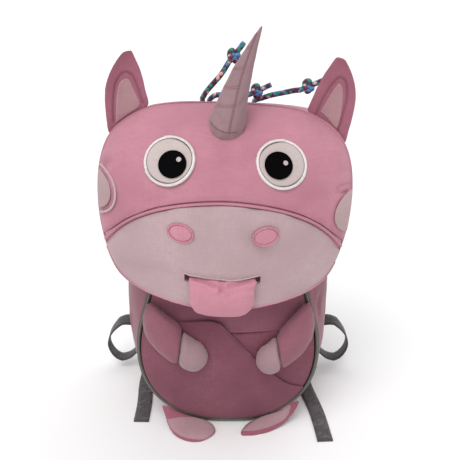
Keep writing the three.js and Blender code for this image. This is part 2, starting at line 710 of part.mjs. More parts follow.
/** Eyes: a disc with a stitched rim, a pupil and a glint, each over the last. */
function eyes() {
  const EYES = [
    { side: "left", centre: headPlace(-0.421, 0.553), pupil: [0.165, -0.186], glint: [0.443, -0.01] },
    { side: "right", centre: headPlace(0.408, 0.557), pupil: [-0.16, -0.103], glint: [0.113, 0.01] },
  ];
  const beside = (centre, shift) => onTangent(centre, ...shift.map((share) => share * EYE_RADIUS));
  const disc = (radius) => [[0, 0], [radius, radius]];
  for (const { side, centre, pupil, glint } of EYES) {
    const white = roundPlaces(centre, ...disc(EYE_RADIUS - GAP), { rings: 2, sectors: 18 });
    add(head, `eye_white_${side}`, sewnOn(onFace, white, { gap: 0.5, loop: true }), "white");
    const ring = [EYE_RADIUS, EYE_RADIUS + EYE_RIM].map((radius) => [radius, radius]);
    const rim = roundPlaces(centre, ...ring, { rings: 1, sectors: 20 });
    add(head, `eye_rim_${side}`, sewnOn(onFace, rim, { thickness: 1.5, loop: true }), "white");
    const onEye = 0.5 + APPLIQUE + GAP;
    const pupilAt = beside(centre, pupil);
    const black = roundPlaces(pupilAt, ...disc(PUPIL_RADIUS), { rings: 2, sectors: 16 });
    add(head, `pupil_${side}`, sewnOn(onFace, black, { gap: onEye, thickness: 0.7, loop: true }), "black");
    const glintAt = beside(centre, glint);
    const dot = roundPlaces(glintAt, ...disc(GLINT_RADIUS), { rings: 1, sectors: 10 });
    const onPupil = onEye + 0.7 + GAP;
    add(head, `glint_${side}`, sewnOn(onFace, dot, { gap: onPupil, thickness: 0.5, loop: true }), "white");
  }
}

function nostrils() {
  const NOSTRILS = [
    { side: "left", centre: headPlace(-0.323, -0.156), turn: -13 },
    { side: "right", centre: headPlace(0.31, -0.163), turn: 13 },
  ];
  for (const { side, centre, turn } of NOSTRILS) {
    const size = [NOSTRIL_HALF_LENGTH, NOSTRIL_HALF_WIDTH];
    const edge = size.map((half) => half + GAP);
    const outside = size.map((half) => half + NOSTRIL_RIM);
    const shape = { rings: 2, sectors: 16, turn: rad(turn) };
    const fill = roundPlaces(centre, [0, 0], size, shape);
    add(head, `nostril_${side}`, sewnOn(onFace, fill, { loop: true }), "tongue");
    const rim = roundPlaces(centre, edge, outside, { ...shape, rings: 1 });
    add(head, `nostril_rim_${side}`, sewnOn(onFace, rim, { thickness: 1.3, loop: true }), "pale");
  }
}

/** Spots that the rim's seam cuts off: each place past the rim is pulled back inside it. */
function cheekSpots() {
  const SPOTS = [
    { name: "cheek_spot_left", centre: headPlace(-1, 0.136), inner: [0, 0], outer: [15.4, 16.5] },
    { name: "cheek_ring_left", centre: headPlace(-1, 0.136), inner: [19, 19.6], outer: [20.8, 21.4] },
    { name: "cheek_spot_right", centre: headPlace(1, -0.019), inner: [0, 0], outer: [18.5, 18.6] },
  ];
  const LAST = 0.975; // share of the way out to the rim where a spot is cut off
  for (const { name, centre, inner, outer } of SPOTS) {
    const side = Math.sign(centre[0]);
    const arc = (half) => (share) => {
      const angle = lerp(-1, 1, share) * 0.5 * Math.PI;
      return [centre[0] - side * half[0] * Math.cos(angle), centre[1] + half[1] * Math.sin(angle)];
    };
    const kept = ([x, z]) => {
      const pull = Math.min(1, LAST / face.reach(x, z));
      return [x * pull, lerp(FACE_CENTRE_UP, z, pull)];
    };
    const line = (share) => kept([centre[0], centre[1] + lerp(-1, 1, share) * outer[1]]);
    const round = arc(outer);
    const hollow = inner[0] ? arc(inner) : line;
    const [from, to] = side < 0 ? [hollow, round] : [round, hollow];
    const places = shares(inner[0] ? 1 : 3).map((out) =>
      shares(12).map((share) => {
        const [a, b] = [kept(from(share)), kept(to(share))];
        return [lerp(a[0], b[0], out), lerp(a[1], b[1], out)];
      }),
    );
    const rows = places[0].map((_, j) => places.map((row) => row[j]));
    add(head, name, sewnOn(onFace, rows, { gap: 0.4 }), "pale");
  }
}

/** The padded tongue: out through the slot and down over the muzzle, with rounded lower corners. */
function tongue() {
  const CORNER = 15;
  const CLEAR = 0.5;
  const LIP = 6.5;
  const ROOT = 0.2; // share of its length that lies inside the mouth
  const ROOT_LENGTH = 10;
  const ROOT_NARROWING = 0.97;
  const FREE = 0.5; // share of its length from which it hangs straight down
  const FALL = 9; // how far its end may lean back to the muzzle
  const columns = shares(8);
  const rows = shares(10).map((along) =>
    columns.map((share) => {
      const across = 2 * share - 1;
      const x = across * TONGUE_HALF_WIDTH * (along > ROOT ? 1 : ROOT_NARROWING);
      const top = lipUp(x) - GAP;
      const front = face.onDome(x, top).y;
      const bend = clamp((along - ROOT) / (FREE - ROOT), 0, 1) * 0.5 * Math.PI;
      const inPast = (1 - Math.min(along / ROOT, 1)) * ROOT_LENGTH;
      const corner = Math.max(0, Math.abs(x) - (TONGUE_HALF_WIDTH - CORNER)) / CORNER;
      const bottom = TONGUE_BOTTOM + CORNER * (1 - Math.sqrt(Math.max(0, 1 - 0.98 * corner ** 2)));
      const drop = clamp((along - FREE) / (1 - FREE), 0, 1);
      const z = lerp(top - LIP * (1 - Math.cos(bend)), bottom, drop);
      const hang = face.onDome(x, Math.max(z, HEAD_BOTTOM + 1)).y - CLEAR - TONGUE_PADDING;
      const bent = front - LIP * Math.sin(bend) + inPast + CLEAR;
      return new Vector3(x, lerp(bent, Math.min(hang, bent + FALL), drop), z);
    }),
  );
  const clockwise = (grid) => grid.map((row) => [...row].reverse());
  return wall(clockwise(rows), clockwise(moved(rows, TONGUE_PADDING)));
}

/** The stuffed horn, seated on the forehead, with a dent at each ring of stitches. */
function horn() {
  const FOOT = headPlace(-0.004, 0.862);
  const SIDES = 12;
  const RING_DENT = 0.5;
  const HORN_SINK = 5; // root below the skin, before the skin cuts it off
  const SECTIONS = [
    { along: 0.06, size: 1 }, { along: 0.2, size: 0.88, ring: 1 }, { along: 0.31, size: 0.785 },
    { along: 0.42, size: 0.68, ring: 1 }, { along: 0.53, size: 0.575 }, { along: 0.62, size: 0.49, ring: 1 },
    { along: 0.72, size: 0.385 }, { along: 0.81, size: 0.29, ring: 1 }, { along: 0.9, size: 0.19 },
    { along: 0.97, size: 0.1 }, { along: 1, size: 0.04 },
  ];
  const foot = face.onDome(...FOOT);
  const lean = Math.tan(rad(HORN_LEAN - HEAD_TILT));
  const axis = new Vector3(lean, Math.tan(rad(HORN_BACK)), 1).normalize();
  const side = new Vector3(1, 0, 0).addScaledVector(axis, -axis.x).normalize();
  const front = new Vector3().crossVectors(side, axis);
  const ring = (along, size) =>
    range(SIDES).map((k) => {
      const angle = (2 * Math.PI * k) / SIDES;
      const radius = HORN_RADIUS * size;
      const bow = HORN_BOW * Math.sin(Math.PI * along);
      return foot.clone()
        .addScaledVector(axis, HORN_LENGTH * along)
        .addScaledVector(side, radius * Math.cos(angle) - bow)
        .addScaledVector(front, radius * Math.sin(angle));
    });
  const rings = SECTIONS.map(({ along, size, ring: dent }) =>
    ring(along, size - (dent ? RING_DENT / HORN_RADIUS : 0)),
  );
  const out = faceNormal(...FOOT);
  const root = ring(0, 1.02).map((point) => {
    const depth = foot.clone().sub(point).dot(out) - HORN_SINK;
    return point.addScaledVector(axis, depth / axis.dot(out));
  });
  return stuffed([root, ...rings]);
}

// An ear from its root to its tip: the places of its outer and inner edges from the head's middle, and
// up from its root, as shares of the ear's length, and its padding.
const EAR = [
  { outer: -1.852, outerUp: 0.02, inner: -1.182, innerUp: 0.48, padding: 0.7 },
  { outer: -1.872, outerUp: 0.26, inner: -1.213, innerUp: 0.6, padding: 1 },
  { outer: -1.886, outerUp: 0.52, inner: -1.25, innerUp: 0.76, padding: 1 },
  { outer: -1.865, outerUp: 0.74, inner: -1.297, innerUp: 0.93, padding: 0.95 },
  { outer: -1.79, outerUp: 0.95, inner: -1.345, innerUp: 1.06, padding: 0.85 },
  { outer: -1.665, outerUp: 1.14, inner: -1.4, innerUp: 1.18, padding: 0.65 },
  { outer: -1.56, outerUp: 1.25, inner: -1.44, innerUp: 1.262, padding: 0.4 },
];

const EAR_LEAN = { [-1]: 0, 1: 8 }; // how far each tip leans outwards

/** The ear's middle layer at a share across it and along it, from its table. */
function earAt(side, across, along) {
  const EAR_ROOT_UP = headPlace(0, 0.633)[1];
  const ROOT_DEPTH = { outer: -25.5, inner: -18 }; // just behind the rim's seam
  const TIP_FORWARD = 5;
  const CUP_START = 0.25; // share of its bend that the cup has at the root
  const row = smooth(EAR, ["outer", "outerUp", "inner", "innerUp", "padding"]);
  const [outer, outerUp, inner, innerUp, padding] = row(along);
  const bend = Math.sin(Math.PI * clamp(CUP_START + (1 - CUP_START) * along, 0, 1));
  const cup = EAR_CUP * (1 - (2 * across - 1) ** 2) * bend;
  const point = new Vector3(
    side * (EAR_LEAN[side] * along - lerp(outer, inner, across) * EAR_LENGTH),
    lerp(ROOT_DEPTH.outer, ROOT_DEPTH.inner, across) + cup - TIP_FORWARD * along,
    EAR_ROOT_UP + lerp(outerUp, innerUp, across) * EAR_LENGTH,
  );
  const half = 0.5 * EAR_PADDING * padding * Math.sqrt(Math.max(0, 1 - (2 * across - 1) ** 2));
  return { point, half };
}

function ears(skins) {
  const ACROSS = [0, 0.1, 0.3, 0.5, 0.7, 0.9, 1];
  const PATCH = { from: 0.04, to: 0.7, straight: 0.2, rootHalf: 0.26, tipHalf: 0.06 }; // shares of the ear
  for (const [name, side] of [["left", -1], ["right", 1]]) {
    const rings = shares(8).map((along) => {
      const places = ACROSS.map((across) => earAt(side, across, along));
      const front = places.map(({ point, half }) => point.clone().setY(point.y - half));
      const rear = places.slice(1, -1).reverse().map(({ point, half }) => point.clone().setY(point.y + half));
      return [...front, ...rear];
    });
    add(head, `ear_${name}`, seated(stuffed(rings), skins), "pink");
    const surface = (across, along) => {
      const { point, half } = earAt(side, across, along);
      return point.setY(point.y - half);
    };
    const places = shares(6).map((up) =>
      shares(4).map((share) => {
        const tapered = clamp((up - PATCH.straight) / (1 - PATCH.straight), 0, 1);
        const narrow = lerp(PATCH.rootHalf, PATCH.tipHalf, tapered);
        const across = lerp(0.5 - narrow, 0.5 + narrow, share);
        return [side < 0 ? across : 1 - across, lerp(PATCH.from, PATCH.to, up)];
      }),
    );
    add(head, `ear_inner_${name}`, sewnOn(surface, places, { gap: 0.6, thickness: 0.8 }), "pale");
  }
}

/** A stuffed limb over the belly from its sections; it never sinks into the belly. */
function limb(sections) {
  const LIFT = 4.4; // over the belly, its pockets and the gap to them
  const SIDES = 12;
  const EDGE = 0.5;
  return stuffed(sections.map(({ x, z, lean, half, front }) =>
    range(SIDES).map((k) => {
      const angle = (2 * Math.PI * k) / SIDES;
      const off = half * Math.cos(angle);
      const [px, pz] = [x + off * Math.sin(rad(lean)), z + off * Math.cos(rad(lean))];
      const rise = Math.max(0, Math.sin(angle)) ** 0.8;
      const ground = belly.onDome(px, pz).y - LIFT;
      return new Vector3(px, ground - front * rise - EDGE * Math.abs(Math.sin(angle)), pz);
    }),
  ));
}

// Each arm's sections from the side seam to the end of its hand: their middles as shares of the bag's
// half width and height, their lean in degrees, and their size as shares of the arm's width and padding.
// The hand starts at a row of the table.
const ARMS = [
  { side: "left", handRow: 2.9,
    sections: [
      { across: -0.912, up: 0.47, lean: 22, wide: 0.538, deep: 0.15 },
      { across: -0.841, up: 0.446, lean: 30, wide: 0.82, deep: 0.6 },
      { across: -0.682, up: 0.396, lean: 32, wide: 1, deep: 0.85 },
      { across: -0.5, up: 0.352, lean: 6, wide: 1, deep: 0.85 },
      { across: -0.35, up: 0.328, lean: 2, wide: 0.93, deep: 0.8 },
      { across: -0.247, up: 0.328, lean: 0, wide: 0.615, deep: 0.5 },
      { across: -0.206, up: 0.328, lean: 0, wide: 0.179, deep: 0.25 },
    ] },
  { side: "right", handRow: 3.2,
    sections: [
      { across: 0.918, up: 0.477, lean: -22, wide: 0.487, deep: 0.15 },
      { across: 0.859, up: 0.44, lean: -30, wide: 0.795, deep: 0.6 },
      { across: 0.729, up: 0.386, lean: -34, wide: 0.949, deep: 0.85 },
      { across: 0.582, up: 0.342, lean: -12, wide: 0.96, deep: 0.85 },
      { across: 0.453, up: 0.315, lean: -3, wide: 0.96, deep: 0.8 },
      { across: 0.335, up: 0.312, lean: 0, wide: 0.641, deep: 0.5 },
      { across: 0.288, up: 0.312, lean: 0, wide: 0.179, deep: 0.25 },
    ] },
];

function arms() {
  for (const { side, handRow, sections } of ARMS) {
    const last = sections.length - 1;
    const whole = smooth(sections, ["across", "up", "lean", "wide", "deep"]);
    const at = (row) => {
      const [across, up, lean, wide, deep] = whole(row / last);
      const [x, z] = [across * SEAM_HALF_WIDTH, up * FRONT_HEIGHT];
      return { x, z, lean, half: (wide * ARM_WIDTH) / 2, front: deep * ARM_PADDING };
    };
    const before = at(Math.floor(handRow));
    const after = at(Math.floor(handRow) + 1);
    const split = HAND_GAP / Math.hypot(after.x - before.x, after.z - before.z);
    const armRows = shares(7).map((share) => at(lerp(0, handRow - split, share)));
    const handRows = shares(5).map((share) => at(lerp(handRow + split, last, share)));
    add(bag, `arm_${side}`, limb(armRows), "pink");
    add(bag, `hand_${side}`, limb(handRows), "pale");
  }
}

// Each foot from its root to its toes: its left and right edges as shares of the bag's half width, of the
// foot's length in front of the front seam and of the bag's height, and its thickness as a share of the
// padding. The root runs along the seam between two rows of its table.
const FEET = [
  { side: "left", rootFrom: -3.15, rootTo: -0.85,
    sections: [
      { left: -0.741, leftOut: 0.118, leftUp: 0.0336,
        right: -0.176, rightOut: 0.176, rightUp: 0.0019, thick: 0.8 },
      { left: -0.7, leftOut: 0.382, leftUp: 0.0093,
        right: -0.135, rightOut: 0.412, rightUp: 0.0007, thick: 1 },
      { left: -0.624, leftOut: 0.706, leftUp: 0.0022,
        right: -0.141, rightOut: 0.632, rightUp: 0, thick: 0.95 },
      { left: -0.518, leftOut: 0.926, leftUp: 0.0007,
        right: -0.212, rightOut: 0.838, rightUp: 0, thick: 0.75 },
      { left: -0.406, leftOut: 1, leftUp: 0.0004,
        right: -0.306, rightOut: 0.979, rightUp: 0, thick: 0.35 },
    ] },
  { side: "right", rootFrom: 0.95, rootTo: 3.5,
    sections: [
      { left: 0.224, leftOut: 0.176, leftUp: 0.0019,
        right: 0.788, rightOut: 0.059, rightUp: 0.0448, thick: 0.8 },
      { left: 0.176, leftOut: 0.353, leftUp: 0.0007,
        right: 0.682, rightOut: 0.235, rightUp: 0.0149, thick: 1 },
      { left: 0.141, leftOut: 0.529, leftUp: 0,
        right: 0.541, rightOut: 0.456, rightUp: 0.0022, thick: 0.9 },
      { left: 0.139, leftOut: 0.647, leftUp: 0,
        right: 0.412, rightOut: 0.612, rightUp: 0.0007, thick: 0.65 },
      { left: 0.159, leftOut: 0.715, leftUp: 0,
        right: 0.282, rightOut: 0.7, rightUp: 0, thick: 0.3 },
    ] },
];

/** A foot's lower and upper surfaces at a share across it and along it. */
function footSurfaces({ rootFrom, rootTo, sections }) {
  const SOLE = 0.05; // lowest point of a foot, just clear of the ground
  const ROOT = 0.16; // share of a foot's length in which it leaves the seam
  const EDGE = 0.5;
  const ROOT_THICK = 0.12;
  const row = smooth(sections, ["left", "leftOut", "leftUp", "right", "rightOut", "rightUp", "thick"]);
  const below = PIPING_RADIUS + 7 * GAP;
  const low = (across, along) => {
    const [left, leftOut, leftUp, right, rightOut, rightUp] = row((along - ROOT) / (1 - ROOT));
    const out = lerp(leftOut, rightOut, across) * FOOT_LENGTH;
    const up = lerp(leftUp, rightUp, across) * FRONT_HEIGHT;
    const free = new Vector3(lerp(left, right, across) * SEAM_HALF_WIDTH, -FRONT_DEPTH - out, up);
    const share = lerp(rootFrom, rootTo, across) / SEAM_ROWS;
    const seam = belly.rimAt(share).addScaledVector(belly.outOf(share), below);
    seam.y -= PIPING_RADIUS;
    const point = seam.lerp(free, clamp(along / ROOT, 0, 1));
    return point.setZ(Math.max(SOLE, point.z));
  };
  const top = (across, along) => {
    const point = low(across, along);
    const free = row(clamp((along - ROOT) / (1 - ROOT), 0, 1))[6];
    const thick = lerp(ROOT_THICK, free, clamp(along / ROOT, 0, 1));
    const full = Math.sqrt(Math.max(0, 1 - Math.abs(2 * across - 1) ** 2.6));
    return point.setZ(point.z + EDGE + FOOT_PADDING * thick * full);
  };
  return { low, top };
}

/** Feet: flat padded paddles sewn in below the piping, with the toes on the ground. */
function feet() {
  const ACROSS = [0, 0.07, 0.22, 0.5, 0.78, 0.93, 1];
  const TOE = { from: 0.42, to: 0.88, halfFrom: 0.4, halfTo: 0.3 }; // the pale patch on a foot, as shares
  for (const foot of FEET) {
    const { low, top } = footSurfaces(foot);
    const rings = shares(8).map((along) => [
      ...ACROSS.map((across) => top(across, along)),
      ...ACROSS.slice(1, -1).reverse().map((across) => low(across, along)),
    ]);
    add(bag, `foot_${foot.side}`, stuffed(rings), "pink");
    const places = shares(4).map((up) =>
      shares(5).map((share) => {
        const half = lerp(TOE.halfFrom, TOE.halfTo, up);
        return [lerp(0.5 + half, 0.5 - half, share), lerp(TOE.from, TOE.to, up)];
      }),
    );
    add(bag, `toe_${foot.side}`, sewnOn(top, places, { gap: 0.5, thickness: 0.8 }), "pale");
  }
}

// A shoulder strap from the top of the back panel down, the buckle at its end and the webbing loop from
// there to the bag's lower corner: across and up as shares of the bag's back, behind as a share of the
// strap's reach behind the back panel, or, for the loop, behind the back seam.
const STRAP = [
  { across: 0.324, up: 0.9, behind: 0 },
  { across: 0.331, up: 0.872, behind: 0.1 },
  { across: 0.362, up: 0.805, behind: 0.56 },
  { across: 0.429, up: 0.68, behind: 0.9 },
  { across: 0.514, up: 0.544, behind: 0.88 },
  { across: 0.619, up: 0.408, behind: 0.62 },
  { across: 0.724, up: 0.2855, behind: 0.4 },
];
const LOOP = [
  { across: 0.802, up: 0.2056, behind: 0.507, wideX: 1, wideY: 0, wideZ: 0.35 },
  { across: 0.83, up: 0.184, behind: 0.453, wideX: 0.8, wideY: 0.2, wideZ: 0.5 },
  { across: 0.952, up: 0.18, behind: 0.367, wideX: 0.3, wideY: 0.8, wideZ: 0.5 },
  { across: 1.095, up: 0.19, behind: 0.2, wideX: 0.1, wideY: 1, wideZ: 0.2 },
  { across: 1.219, up: 0.146, behind: 0.1, wideX: 0, wideY: 1, wideZ: 0 },
  { across: 1.243, up: 0.092, behind: 0.067, wideX: 0, wideY: 1, wideZ: 0 },
  { across: 1.152, up: 0.0425, behind: 0.067, wideX: 0, wideY: 1, wideZ: 0 },
  { across: 1.029, up: 0.046, behind: 0.1, wideX: 0, wideY: 1, wideZ: 0 },
  { across: 0.919, up: 0.085, behind: 0.12, wideX: 0, wideY: 1, wideZ: 0 },
  { across: 0.797, up: 0.116, behind: -0.03, wideX: 0, wideY: 1, wideZ: 0 },
];

// The webbing's two loose tails below the buckles, down to the ground and forwards along it: across as a
// share of the bag's back, and depth as a share of the depth of the back seam or of the front seam.
const TAILS = {
  left: [
    { across: -0.797, depth: 1.4, up: 0.15 }, { across: -0.805, depth: 1.37, up: 0.08 },
    { across: -0.812, depth: 1.26, up: 0.015 }, { across: -0.819, depth: 0.957, up: 0 },
    { across: -0.838, depth: 0.26, up: 0 }, { across: -0.819, depth: -0.407, up: 0 },
    { across: -0.824, depth: -1.037, up: 0 },
  ],
  right: [
    { across: 0.792, depth: 1.4, up: 0.15 }, { across: 0.781, depth: 1.37, up: 0.08 },
    { across: 0.762, depth: 1.26, up: 0.015 }, { across: 0.752, depth: 0.957, up: 0 },
    { across: 0.781, depth: 0.13, up: 0 }, { across: 0.857, depth: -0.741, up: 0 },
    { across: 0.89, depth: -1.611, up: 0 },
  ],
};

/** Shoulder straps behind the back panel, each with its buckle, webbing loop and tail. */
function carrying() {
  for (const [name, side] of [["left", -1], ["right", 1]]) {
    const strap = STRAP.map(({ across, up, behind }, i) => {
      const [x, z] = [across * BACK_HALF_WIDTH, up * BACK_HEIGHT];
      const clear = back.onDome(x, z).y + GAP + STRAP_PADDING / 2;
      const twist = (STRAP_LEAN * i) / (STRAP.length - 1);
      return { x: side * x, y: clear + behind * STRAP_REACH, z, wideX: side, wideY: 0, wideZ: twist };
    });
    const narrowing = (share) => STRAP_WIDTH * lerp(1, 0.66, clamp((share - 0.6) / 0.4, 0, 1));
    add(bag, `shoulder_strap_${name}`,
      band(strap, 16, { width: narrowing, thickness: STRAP_PADDING, rounded: true }), "pink");
    const lower = LOOP.map(({ across, up, behind, wideX, wideY, wideZ }) => ({
      x: side * across * BACK_HALF_WIDTH,
      y: BACK_DEPTH + behind * STRAP_REACH,
      z: up * BACK_HEIGHT,
      wideX: side * wideX, wideY, wideZ,
    }));
    add(bag, `lower_webbing_${name}`,
      band(lower, 20, { width: WEBBING, thickness: WEBBING_THICKNESS }), "webbing");
    const [from, to] = [strap[strap.length - 1], lower[0]];
    const run = new Vector3(to.x - from.x, to.y - from.y, to.z - from.z);
    const ends = [3 * GAP, run.length() - 4 * GAP].map((distance) => distance / run.length());
    const plate = [ends[0], (ends[0] + ends[1]) / 2, ends[1]].map((share) => ({
      ...from,
      x: lerp(from.x, to.x, share), y: lerp(from.y, to.y, share), z: lerp(from.z, to.z, share),
    }));
    add(bag, `adjuster_${name}`, band(plate, 4, BUCKLE), "plastic");
    const onBuckle = (BUCKLE.thickness + WEBBING_THICKNESS) / 2 + 3 * GAP;
    const threaded = plate.slice(1).map((place) => ({
      ...place,
      y: place.y + onBuckle,
      wideX: 1,
      wideZ: side * STRAP_LEAN,
    }));
    const loose = TAILS[name].map(({ across, depth, up }) => ({
      x: across * BACK_HALF_WIDTH,
      y: depth * (depth > 0 ? BACK_DEPTH : FRONT_DEPTH),
      z: up * BACK_HEIGHT,
      wideX: 1, wideY: 0, wideZ: 0,
    }));
    add(bag, `webbing_tail_${name}`,
      band([...threaded, ...loose], 18, { width: WEBBING, thickness: WEBBING_THICKNESS }), "webbing");
  }
}

// The cords' routes from the seam behind the crown, over it and up to the knots that they end in.
const CORDS = [
  { name: "left", knot: [5, -13, 350.8], stub: [0.62, -0.02, 0.78],
    route: [
      [-24, 48.6, 296.5], [-24, 44, 298.1], [-24, 38, 300.2], [-23.9, 32, 302.3], [-23.8, 26, 304.2],
      [-23.6, 20, 306], [-23.4, 14, 307.7], [-23.1, 8.5, 309.3], [-22.7, 3, 311], [-21.8, -2.2, 313.5],
      [-19.8, -7, 317.7], [-16.4, -10.4, 322.6], [-12.3, -12.4, 327.6], [-8, -13.4, 332.6],
      [-3.9, -13.7, 338.1], [0.27, -12.95, 344.8],
    ] },
  { name: "middle", knot: [25.8, 6, 316.2], stub: [0.8, -0.1, 0.4],
    route: [
      [-17.4, 48.6, 296.5], [-17.4, 44, 298.1], [-17.4, 38, 300.2], [-17.2, 32, 302.3], [-16.7, 26.4, 304.2],
      [-15.7, 21, 306.4], [-13.9, 16.4, 308.9], [-11.1, 12.4, 311.1], [-7.3, 9.4, 312.4],
      [-2.8, 7.6, 312.8], [1.9, 6.9, 312.5], [6.4, 6.7, 312.2], [10.7, 6.8, 312.3], [14.7, 6.9, 312.6],
      [18.65, 6.84, 312.9],
    ] },
  { name: "right", knot: [70.2, -9.6, 323.8], stub: [0.86, -0.2, 0.42],
    route: [
      [24.9, 48.6, 296.5], [24.9, 44, 298.1], [24.9, 38, 300.1], [25, 32, 302], [25.4, 26.4, 303.7],
      [26.3, 21.2, 305.3], [28, 16.8, 306.8], [30.7, 13, 308.4], [34.1, 9.9, 310.3],
      [38.2, 6.6, 312.4], [43, 3.6, 314.2], [48, 0.6, 315.9], [53, -2.4, 317.6], [58, -5.2, 319.3],
      [63.49, -8.04, 320.52],
    ] },
];

function cords() {
  const KNOT = [
    { out: 0, along: -1 }, { out: 0.62, along: -0.8 }, { out: 0.98, along: -0.25 }, { out: 0.98, along: 0.3 },
    { out: 0.6, along: 0.8 }, { out: 0.36, along: 1 }, { out: 0.4, along: 1 + KNOT_STUB / KNOT_RADIUS },
    { out: 0, along: 1 + KNOT_STUB / KNOT_RADIUS },
  ];
  const SIDES = 8;
  const UP = new Vector3(0, 1, 0); // axis that a lathe turns about
  for (const { name, route, knot, stub } of CORDS) {
    const curve = new THREE.CatmullRomCurve3(route.map((point) => new Vector3(...point)));
    add(bag, `cord_${name}`, tube(curve, CORD_DIAMETER / 2, route.length - 4, SIDES), "cord");
    const profile = KNOT.map(({ out, along }) => new THREE.Vector2(out, along).multiplyScalar(KNOT_RADIUS));
    const lathe = new THREE.LatheGeometry(profile, SIDES);
    const direction = new Vector3(...stub).normalize();
    lathe.applyQuaternion(new THREE.Quaternion().setFromUnitVectors(UP, direction));
    lathe.translate(...knot);
    add(bag, `knot_${name}`, lathe, "cord");
  }
}

// The body
add(bag, "belly_panel", panel(belly, CLOTH, SEAM_INSET, 4, 28), "deepPink");
add(bag, "back_panel", panel(back, BACK_PADDING, CLOTH + 1.2, 3, 28), "deepPink");
add(bag, "side_gusset", sideGusset(), "pink");
add(bag, "gathered_collar", collar(), "deepPink");
add(bag, "belly_piping", tube(seamCurve(belly), PIPING_RADIUS, 34, 6), "grey");
const { over, underBottom, underTop, thickness } = pockets();
const overUnder = { gap: 3 * GAP + thickness, thickness };
add(bag, "pocket_over", sewnOn(belly.onDome, over, overUnder), "deepPink");
add(bag, "pocket_under", sewnOn(belly.onDome, between(underBottom, underTop, 14, 4), { thickness }), "pink");

// The head
const brow = facePart(1);
add(head, "face_upper", wall(brow.outer, brow.inner), "pink");
const jaw = facePart(-1);
add(head, "muzzle", less(wall(jaw.outer, jaw.inner), mouthCut()), "pale");
const seamPoints = shares(32).map((share) => {
  const [x, z] = muzzleSeam(lerp(0.008, 0.992, share));
  return onFace(x, z);
});
const seamLine = new THREE.CatmullRomCurve3(seamPoints);
add(head, "muzzle_piping", tube(seamLine, MUZZLE_PIPING_RADIUS, 24, 6), "pink");
const { rows: crownOuter, inner: crownInner } = crown();
add(head, "head_crown", wall(crownOuter, crownInner), "pink");
add(head, "tongue", tongue(), "tongue");
add(head, "horn", seated(horn(), [brow.outer]), "pale");
eyes();
nostrils();
cheekSpots();
ears([brow.outer, crownOuter]);

// Limbs, webbing and cords
arms();
feet();
carrying();
cords();

export default bag;
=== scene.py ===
"""A small child's backpack with a unicorn's face, dressed in cloth, embroidery, webbing and cord.

Metres, +Z up, the face looks along -Y. Places on the front are pixels of the 460 by 460 photograph,
dropped from its camera onto the piece that carries them.
"""
import math

import bmesh
import bpy
import numpy as np
from mathutils import Matrix, Vector, noise
from mathutils.bvhtree import BVHTree
from mathutils.kdtree import KDTree


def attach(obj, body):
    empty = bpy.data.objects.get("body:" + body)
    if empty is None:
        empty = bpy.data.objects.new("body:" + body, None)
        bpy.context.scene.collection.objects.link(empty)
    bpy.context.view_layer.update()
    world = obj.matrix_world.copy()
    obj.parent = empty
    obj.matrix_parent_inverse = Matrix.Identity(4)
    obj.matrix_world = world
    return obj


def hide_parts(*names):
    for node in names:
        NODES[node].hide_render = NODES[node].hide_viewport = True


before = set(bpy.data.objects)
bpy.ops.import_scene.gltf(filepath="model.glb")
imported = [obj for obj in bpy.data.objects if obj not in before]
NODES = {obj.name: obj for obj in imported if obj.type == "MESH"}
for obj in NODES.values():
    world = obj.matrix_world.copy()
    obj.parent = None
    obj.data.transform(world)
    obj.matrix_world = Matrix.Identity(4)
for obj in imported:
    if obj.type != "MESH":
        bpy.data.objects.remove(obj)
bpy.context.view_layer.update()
SIDES = ("left", "right")
MM = 0.001
SIMULATED_FRAMES = 20

# The photograph's frame and camera
PHOTO_PIXELS = 460
FOCAL_PIXELS = 775
AXIS_PIXEL = (228, 262)  # where the camera's axis meets the photograph
CAMERA_AT = Vector((0, -0.6888, 0.4712))
LOOKS_DOWN = math.radians(25)
FORWARD = Vector((0, math.cos(LOOKS_DOWN), -math.sin(LOOKS_DOWN)))
ABOVE = Vector((0, math.sin(LOOKS_DOWN), math.cos(LOOKS_DOWN)))
SENSOR = 36

# Light: strength of the sky; place, softness in degrees and strength of each sun; and the floor
SKY = 0.68
KEY_SUN = ((-0.45, -1.0, 1.7), 38, 1.45)
RIM_SUN = ((0.5, 1.0, 1.6), 60, 0.5)
FLOOR_SIZE = 60
FLOOR_COLOUR = (0.93, 0.93, 0.93, 1)

